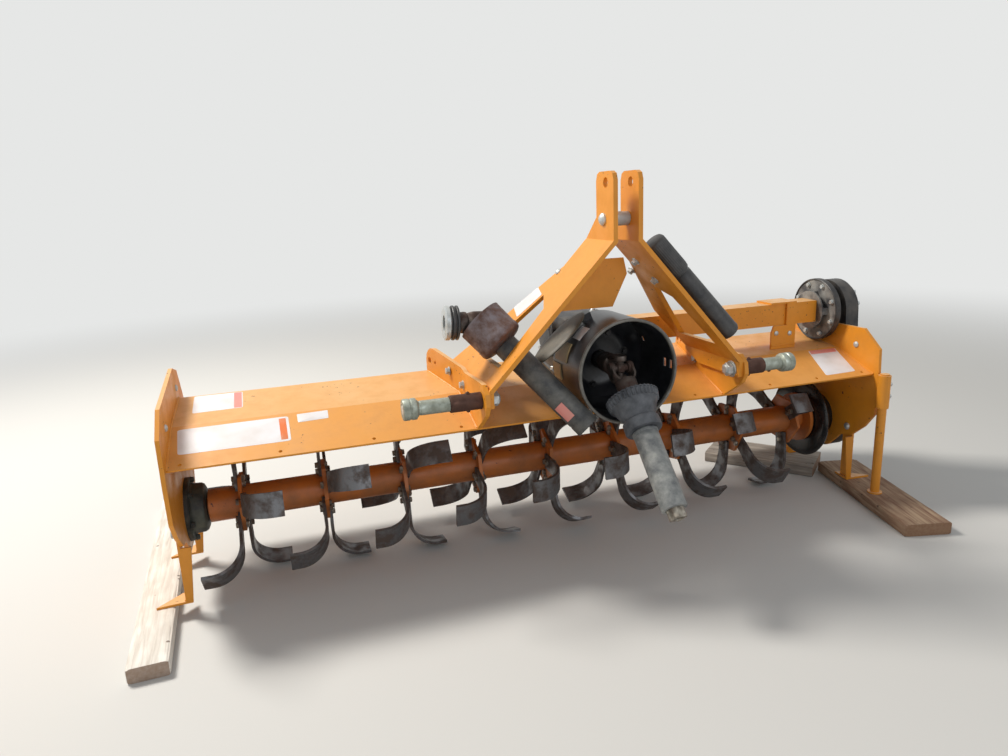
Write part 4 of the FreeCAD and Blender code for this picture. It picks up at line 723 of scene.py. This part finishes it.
shell_points, shell_faces = guard_shell()
shell_mesh = bpy.data.meshes.new("guard_shell")
shell_mesh.from_pydata((shell_points * MM).tolist(), [], shell_faces.tolist())
shell_mesh.shade_smooth()
shell = set_piece("guard_shell", shell_mesh, guard_plastic, ["pto_guard"],
                  "frame")
wall = shell.modifiers.new("wall", "SOLIDIFY")
wall.thickness = guard_wall * MM
wall.offset = -1.0
lip = closed([(0, 130), (-2.5, 131.5), (-3.5, 134), (-2.5, 137), (0.5, 138.5), (5, 138),
              (8, 136.2), (8, 131), (4, 130)])
make_piece("guard_lip", [turned(lip, guard_axis + (0, guard_front + 3.5, 0), (0, 1, 0), 128)],
           lip_plastic)
back_plate = closed([(-4, 24), (-6, 26), (-6, 60), (-9, 66), (-9, 84), (-6, 90), (-6, 134),
                     (-2, 134), (-2, 24)])
make_piece("guard_back", [turned(back_plate, guard_axis + (0, guard_back + 2, 0), (0, 1, 0), 96)],
           guard_plastic)
guard_ring = bolt_arc((guard_back - 6.5, 0, 0), 75, 12, 60, 6)[:, [1, 0, 2]] + guard_axis
make_piece("guard_bolts", [planted(hex_bolt(13, 7, 12), guard_ring, (0, -1, 0))], casting)


def bent_plate(base, axis, first_way, second_way, span, turns, radii, steps):
    """A plate bent round an axis: a closed ring of two distances along it and two radii, carried
    from one angle to another, measured from the first way towards the second."""
    ring = np.array([(span[0], radii[0]), (span[1], radii[0]), (span[1], radii[1]),
                     (span[0], radii[1])])
    angle = np.radians(np.linspace(*turns, steps))[:, None, None]
    way = np.cos(angle) * first_way + np.sin(angle) * second_way
    points = base + ring[:, :1] * axis + way * ring[:, 1:]
    ends = np.repeat(points.mean(axis=1)[[0, -1]][:, None], 4, axis=1)
    return skin(np.concatenate([ends[:1], points, ends[1:]]))


def guard_patch(front, back, low, high, rise):
    """A plate on the drum, between two distances from the front and two angles."""
    return bent_plate(guard_axis, np.array((0, 1, 0)), np.array((1, 0, 0)), np.array((0, 0, 1)),
                      (front, back), (low, high), (guard_radius, guard_radius + rise), 16)


tan_plastic = moulded_polyethylene("tan_polyamide_latch", "#B79F74", "#8C7B60", 0.7, 0.5)
make_piece("guard_latches", [guard_patch(-262, -186, 150, 172, 3.5),
                             guard_patch(-226, -176, 176, 194, 3.5)],
           tan_plastic)
make_piece("guard_flap_lug", [guard_patch(-238, -206, 111, 120, 20)], guard_plastic)
# A pale silver patch on the drum's upper left: a painted reflection of its glossy plastic.
make_piece("guard_painted_reflection", [guard_patch(-290, -244, 126, 143, 0.6)],
           printed_foil_and_painted_reflection("painted_reflection_patch", "#C9CDD4"))
flap_plastic = moulded_polyethylene("olive_grey_polyethylene", "#4A483F", "#6E695C", 0.8, 0.55)
flap_middle = np.array((-30.0, -222.0, 632.0))
flap_out = np.array((-0.66, 0.0, 0.75))


def oval_flap():
    """The hinged cover of the drum's opening: a domed oval, 192 by 100 mm, in rings from its
    crown over a rounded rim to its flat underside."""
    reach = np.array([0, 0.45, 0.8, 0.94, 1.0, 0.99, 0.9, 0])[:, None]
    height = np.array([7, 6.5, 5, 4, 1.5, -1.5, -2, -2])[:, None, None]
    angle = np.linspace(0, 2 * np.pi, 64, endpoint=False)
    up_round = np.array((0.75, 0.0, 0.66))
    points = (flap_middle + flap_out * height
              + up_round * (96 * reach * np.cos(angle))[..., None]
              + np.array((0.0, 1.0, 0.0)) * (50 * reach * np.sin(angle))[..., None])
    return skin(points)


make_piece("guard_flap", [oval_flap()], flap_plastic)


# Universal joints: forged yokes on a cross with four bearing cups. One yoke is on the gearbox's
# input shaft, the other on the hanging drive line, all brown with a rust film.
forging = filmed_steel("rusted_forging", "#5C5550", "#47322A", 1.0)
joint = next(one for one in frame["joints"] if one["name"] == "drive_line_hinge")
cross_place = np.array(joint["pos_m"]) / MM
line_lean = math.radians(45)
line_axis = np.array((0.0, -math.cos(line_lean), -math.sin(line_lean)))


def yoke_arm(cross, axis, across):
    """One arm: an oval bar carried out from the hub's shoulder and along to the eye, where its
    width closes in a half circle; axis points to the hub and across to the arm's own side."""
    share = np.linspace(0, 1, 22)
    along = 50 - 66 * share
    out = 10 + 18.5 * np.sin(np.pi / 2 * np.minimum(1, share * 2.4))
    end = np.clip((share - 0.72) / 0.28, 0, 1)
    half_width = 17.5 * np.sqrt(np.clip(1 - end ** 2, 0, 1))
    half_wall = np.where(share < 1, 5.2 - 1.2 * end, 0)
    half_wall[0] = half_width[0] = 0
    wide, deep = rounded(np.linspace(0, 2 * np.pi, 20, endpoint=False), 0.6)
    beside = np.cross(axis, across)
    points = (cross + axis * along[:, None, None] + across * out[:, None, None]
              + beside * (half_width[:, None] * wide)[..., None]
              + across * (half_wall[:, None] * deep)[..., None])
    return skin(points)


def forged_yoke(cross, axis, across, hub_end):
    """Surfaces of a yoke: the hub with a rounded shoulder, two arms, and an eye on each."""
    hub = [(38, 0), (38, 20), (42, 27), (47, 28.5), (hub_end - 3, 27), (hub_end, 25), (hub_end, 0)]
    pieces = [turned(hub, cross, axis, sides=48)]
    for sign in (-1, 1):
        pieces.append(yoke_arm(cross, axis, across * sign))
        pieces.append(turned([(19, 0), (19, 15), (21, 16.5), (31, 16.5), (33.5, 15), (33.5, 12),
                              (31.5, 11.5), (31.5, 0)], cross, across * sign, sides=36))
    return pieces


def journal_cross(cross, first, second):
    """Surfaces of a cross: a round body and two journals that swell towards their cups."""
    arm = [(-18.5, 0), (-18.5, 10), (-12, 9), (-9, 13), (9, 13), (12, 9), (18.5, 10), (18.5, 0)]
    return [turned(arm, cross, first, sides=28), turned(arm, cross, second, sides=28)]


upright, level = np.array((0.0, 0.0, 1.0)), np.array((1.0, 0.0, 0.0))
to_gearbox = np.array((0.0, 1.0, 0.0))
make_piece("input_yoke_forging", forged_yoke(cross_place, to_gearbox, upright, 92), forging,
           ["input_yoke"])
make_piece("joint_cross_forging", journal_cross(cross_place, upright, level), forging,
           ["joint_cross"])
make_piece("line_yoke_forging", forged_yoke(cross_place, line_axis, level, 96), forging,
           ["line_yoke"], "drive_line")
paint(["input_boss"], casting)


# Drive line: the yoke's safety bell with a ribbed rim, a guard tube of moulded plastic, grey
# with dried mud, and the steel profile tube that the tractor's half slides on.
tube_plastic = moulded_polyethylene("dusty_tube_polyethylene", "#5C6064", "#B4B6B1", 0.9, 0.55)
bell_plastic = moulded_polyethylene("ribbed_bell_polyethylene", "#33363C", "#7C8086", 0.7, 0.5)
bell_at = cross_place + line_axis * 92
bell = closed([(0, 64), (0, 69, 3), (1.5, 70, 3), (4, 70, 3), (5, 66, 0), (6.5, 66, 0),
               (7.5, 69, 4), (22, 65.5, 4), (23.5, 60.5, 0), (34, 55, 0), (46, 49.5, 0),
               (54, 46, 0), (60, 43.5, 0), (66, 42, 0), (68, 46), (70, 47.5), (94, 47.5), (97, 46),
               (98, 43), (98, 32), (66, 32), (16, 54), (3, 62)])
make_piece("line_bell_moulding", [turned(bell, bell_at, line_axis, sides=288, flutes=36)],
           bell_plastic, ["line_bell"], "drive_line")
tube_at = cross_place + line_axis * 190
tube = closed([(0, 24), (0, 31), (2, 32), (206, 32), (209, 31.2), (210, 29.5), (210, 23)])
make_piece("line_tube_moulding", [turned(tube, tube_at, line_axis, sides=64)], tube_plastic,
           ["line_tube"], "drive_line")
core = closed([(-34, 12, 0), (-34, 22, 5), (22.5, 22, 5), (24, 21, 5), (24, 13, 0), (20, 12, 0)])
make_piece("line_profile_tube", [turned(core, cross_place + line_axis * 400, line_axis,
                                        sides=96, flutes=4)],
           filmed_steel("worn_profile_tube", "#A9A498", "#5E4C40", 0.7),
           ["line_core"], "drive_line")
clip = closed([(2, 31), (2.5, 33), (6, 33.2), (9.5, 33), (10, 31)])
make_piece("line_tube_clip", [turned(clip, tube_at, line_axis, sides=64)], tube_plastic,
           body="drive_line")


# Hitch: two bent plates stand on the hood, welded to it and bolted to the mast's feet, and carry
# the lower hitch pins, each with a zinc bush on a rusty spacer, a washer and a nut.
paint(["hitch_plate_left", "hitch_plate_right"], enamel)
hitch_half, half_plate = 371.0, 6.0
plate_flare_y, plate_flare = -86.0, 54.0


def hitch_face(sign, y, outer):
    """X of a hitch plate's outer or inner face: straight in front, then bent outwards."""
    bent = np.maximum(0, (y - plate_flare_y) / (126 - plate_flare_y)) * plate_flare
    return hitch_x + sign * (hitch_half + (half_plate if outer else -half_plate) + bent)


hitch_welds = []
for sign, outer in ((-1, True), (-1, False), (1, True), (1, False)):
    rail = [(hitch_face(sign, y, outer), y, np.interp(y, *hood_folds.T))
            for y in (-228.0, -71.0, 122.0)]
    hitch_welds += [weld_bead(start, end, 3.5) for start, end in zip(rail, rail[1:])]
make_piece("hitch_welds", hitch_welds, enamel)
zinc_bolts("hitch_plate_bolts", [planted(hex_bolt(17, 10, 13), [
    (hitch_face(sign, y, sign < 0), y, z) for sign, y, z in (
        (-1, -18, 530), (-1, -104, 507), (1, -78, 497), (1, -180, 536))], (-1, 0, 0))])
rust_brown = filmed_steel("brown_rusted_steel", "#5A4036", "#452A20", 1.0)
pin_y, pin_z = -284.0, 509.0
cross_bolts = []
for side, sign, spacer_length, bush_length in (("left", -1, 82, 118), ("right", 1, 74, 98)):
    out = (sign, 0, 0)
    face = np.array((hitch_x + sign * (hitch_half + half_plate), pin_y, pin_z))
    spacer = closed([(0, 14.4), (0, 20.5), (1.5, 22), (spacer_length * 0.3, 21.7),
                     (spacer_length * 0.6, 22), (spacer_length - 1.5, 22),
                     (spacer_length, 20.5), (spacer_length, 14.4)])
    make_piece(f"pin_spacer_{side}_turned", [turned(spacer, face, out, 56)], rust_brown,
               [f"pin_spacer_{side}"])
    bush_start = face + np.array(out) * spacer_length
    rim = bush_length - 36
    bush = closed([(0, 14.4), (0, 17.3), (1.5, 18.3), (rim - 8, 18.3), (rim - 7, 17.4),
                   (rim - 4, 17.4), (rim - 3, 20), (rim, 22), (rim + 2, 26), (rim + 5, 27),
                   (rim + 14, 27), (rim + 15.5, 25.4), (rim + 18, 25.4), (rim + 19.5, 27),
                   (rim + 32, 27), (rim + 35, 25.5), (rim + 36, 23), (rim + 36, 14.4)])
    make_piece(f"hitch_bush_{side}_turned", [turned(bush, bush_start, out, 56)], yellow_zinc,
               [f"hitch_bush_{side}"])
    tail = face - np.array(out) * 24
    end = 24 + spacer_length + bush_length
    pin = [(-24, 0), (-24, 10), (-22, 12), (-20, 13.8), (0, 14.3), (end - 3, 14.3), (end, 12),
           (end, 0)]
    washer = closed([(-4, 14), (-4, 22), (-3, 23), (-0.5, 23), (0, 22), (0, 14)])
    nut = [(-20, 0), (-20, 17), (-18.5, 19), (-5.5, 19), (-4, 17), (-4, 0)]
    make_piece(f"hitch_pin_{side}_turned", [
        turned(pin, tail, out, 48), turned(washer, tail, out, 48), turned(nut, tail, out, 6)],
        zinc, [f"hitch_pin_{side}"])
    cross_bolts += [face + (sign * 0.42 * spacer_length, 0, way * 21.5) for way in (1, -1)]
    cross_bolts += [bush_start + (sign * 0.42 * rim, 0, -17.5)] if sign > 0 else []
ways = [(0, 0, 1 if place[2] > pin_z else -1) for place in cross_bolts]
make_piece("pin_cross_bolts", [planted(dome_bolt(5.5, 6), cross_bolts, ways)], rust_brown)


# Mast: two sheets, each bent into an ear, a sloping sheet with a slot and a foot, with a cross
# plate between them and a bush on a long bolt between the ears.
paint(["mast_plate_left", "mast_plate_right", "cross_plate"], enamel)
mast_top_half, mast_foot_half = 28.0, 353.0
mast_bend_z, mast_low_z = 882.0, 533.0
mast_sheet = 12.0
mast_lean = math.atan2(mast_bend_z - mast_low_z, mast_foot_half - mast_top_half)


def on_sheet(sign, y, z, off=0.0):
    """A point on a sloping sheet's outer face, at a height of its inner face, and off it."""
    share = (mast_bend_z - z) / (mast_bend_z - mast_low_z)
    inner = mast_top_half + share * (mast_foot_half - mast_top_half)
    rise = mast_sheet + off
    return np.array((hitch_x + sign * (inner + rise * math.sin(mast_lean)), y,
                     z + rise * math.cos(mast_lean)))


def sheet_out(sign):
    """The direction straight out from a sloping sheet's outer face."""
    return (sign * math.sin(mast_lean), 0.0, math.cos(mast_lean))


spacer_at = np.array((hitch_x - mast_top_half, -290.0, 937.0))
bushing = closed([(0, 8), (0, 16.5), (1.5, 18), (17, 17.6), (28, 18), (39, 17.6), (54.5, 18),
                  (56, 16.5), (56, 8)])
make_piece("mast_bush", [turned(bushing, spacer_at, (1, 0, 0), 48)], zinc,
           ["mast_spacer"])
ear_outer = mast_top_half + mast_sheet
zinc_bolts("mast_bolts", [
    planted(dome_bolt(16, 11), [(hitch_x - ear_outer, *spacer_at[1:])], (-1, 0, 0)),
    planted(hex_bolt(24, 14, 18), [(hitch_x + ear_outer, *spacer_at[1:])], (1, 0, 0)),
    planted(dome_bolt(9, 7), [on_sheet(-1, -176, 795)], sheet_out(-1)),
    planted(hex_bolt(16, 10, 12), [on_sheet(1, y, z, -mast_sheet) for y, z in (
        (-245, 770), (-228, 822), (-148, 790))], [-part for part in sheet_out(1)]),
])
cross_plate_y = -242.0
cross_rail = [(hitch_x - mast_top_half - (mast_bend_z - z) / math.tan(mast_lean) + 1,
               cross_plate_y, z) for z in (712.0, 831.0)]
make_piece("mast_welds", [
    weld_bead(*cross_rail, 3.5),
    *[weld_bead((x, -312, 497), (x, -236, 497), 3.5)
      for x in (hitch_x - mast_foot_half + 0.5, hitch_x + mast_foot_half - 0.5)],
], enamel)
strip = [on_sheet(-1, y, z, 0.4) for y, z in ((-142, 678), (-72, 694), (-126, 752), (-184, 740))]
label_height = np.array([0.5, 0.5, 0.3, -0.6, -0.6])[:, None, None]
label = foil(strip, 48, 1 / 8) + label_height * np.array(sheet_out(-1))
make_piece("mast_label", [skin(label)], foil_white)


# Canister: a moulded tube for papers with a fluted screw cap, clipped on the right sloping
# sheet; black plastic that the sun has greyed.
canister_plastic = moulded_polyethylene("canister_polyethylene", "#232427", "#63615F", 0.6, 0.45)
down_slope = np.array((math.cos(mast_lean), 0.0, -math.sin(mast_lean)))
canister_at = on_sheet(1, -290.0, mast_bend_z - 41, 32.5 + 0.3)
canister = [(-4, 0), (-4, 24), (-2, 29), (2, 31.5, 0), (5, 32.5, 1.2), (98, 32.5, 1.2),
            (102, 31.8, 0), (108, 31.5, 0), (110, 29.6, 0), (114, 28.2, 0), (118, 28.2),
            (121, 29), (336, 29), (338, 29.6), (344, 29.6), (349, 27), (350, 23), (350, 0)]
make_piece("paper_canister", [turned(canister, canister_at, down_slope, 144, flutes=36)],
           canister_plastic, ["canister"])


# Loose half: the tractor's end of the drive line lies through the left sheet's slot, with its
# bell, its joint, and the quick release collar that locks it on the tractor's shaft.
bell_steel = filmed_steel("purple_brown_rusted_sheet", "#7C7478", "#5C4238", 0.95)
loose_dark = moulded_polyethylene("muddy_tube_polyethylene", "#2E3033", "#78766F", 0.8, 0.5)
loose_z = 630.0
slope_x = mast_top_half + (mast_bend_z - loose_z) / math.tan(mast_lean)
loose_at = np.array((hitch_x - slope_x - 24.6, -212.0, loose_z))
lean, swing = math.radians(42.7), math.radians(49.5)
loose_axis = np.array((math.cos(lean) * math.sin(swing), -math.cos(lean) * math.cos(swing),
                       -math.sin(lean)))
mouth = loose_at - loose_axis * 92
loose_profile = closed([(0, 61.5), (0.5, 63.6), (2, 64), (4, 63.4), (64, 62.4), (66, 63.6),
                        (79, 63.6), (84, 61), (88, 54), (91, 42), (92, 34), (92, 30), (88, 30),
                        (86, 46), (82, 56), (74, 59.5), (3, 60.8)])
make_piece("loose_bell_pressing", [turned(loose_profile, mouth, loose_axis, 96)], bell_steel,
           ["loose_bell"])
loose_tube = closed([(1, 25), (1, 32), (3, 33), (268, 33), (270, 32), (274, 32), (276, 33),
                     (300, 33), (303, 32), (304, 30), (304, 25)])
make_piece("loose_tube_moulding", [turned(loose_tube, loose_at, loose_axis, 64)], loose_dark,
           ["loose_tube"])
loose_cross = loose_at - loose_axis * 84
collar_way = unit((-1.0, 0.06, 0.06))
loose_across = unit(np.cross(loose_axis, collar_way))
loose_upright = np.cross(loose_across, loose_axis)
make_piece("loose_yokes", [
    *forged_yoke(loose_cross, loose_axis, loose_upright, 79),
    *forged_yoke(loose_cross, collar_way, loose_across, 66),
    *journal_cross(loose_cross, loose_upright, loose_across)], forging,
    ["loose_yoke"])
collar_at = loose_cross + collar_way * 64
black_rings = closed([(0, 20), (0, 43), (1.5, 45), (5, 45), (6, 44), (7, 39), (10, 39), (11, 44),
                      (12.5, 45), (16.5, 45), (18, 44), (19, 39), (23, 39), (23, 20)])
zinc_ring = closed([(23, 20), (23, 43), (24.5, 45), (34.5, 45), (36, 42), (36, 20)])
make_piece("loose_collar_zinc", [turned(zinc_ring, collar_at, collar_way, 72)], zinc,
           ["loose_collar"])
make_piece("loose_collar_black", [turned(black_rings, collar_at, collar_way, 72)],
           canister_plastic, ["loose_collar"])
viewer_way = np.array(viewer.location) / MM - loose_at
tag_side = unit(viewer_way - loose_axis * np.dot(viewer_way, loose_axis))
tag = bent_plate(loose_at, loose_axis, tag_side, np.cross(loose_axis, tag_side),
                 (212, 258), (6, 54), (33.0, 34.6), 14)
make_piece("loose_tube_tag", [tag], foil_pink)


# Tailgate: a folded sheet on a long zinc pin behind the hood, with a weld at each hinge barrel.
paint(["hinge_pin"], zinc)
hinge_y, hinge_z = 248.0, 396.0
make_piece("tailgate_welds", [
    weld_bead((x - 28, hinge_y + 10, hinge_z - 4), (x + 28, hinge_y + 10, hinge_z - 4), 3.0)
    for x in (np.arange(4) - 1.5) * 2 * hood_half / 4.4],
    enamel, body="tailgate_flap")
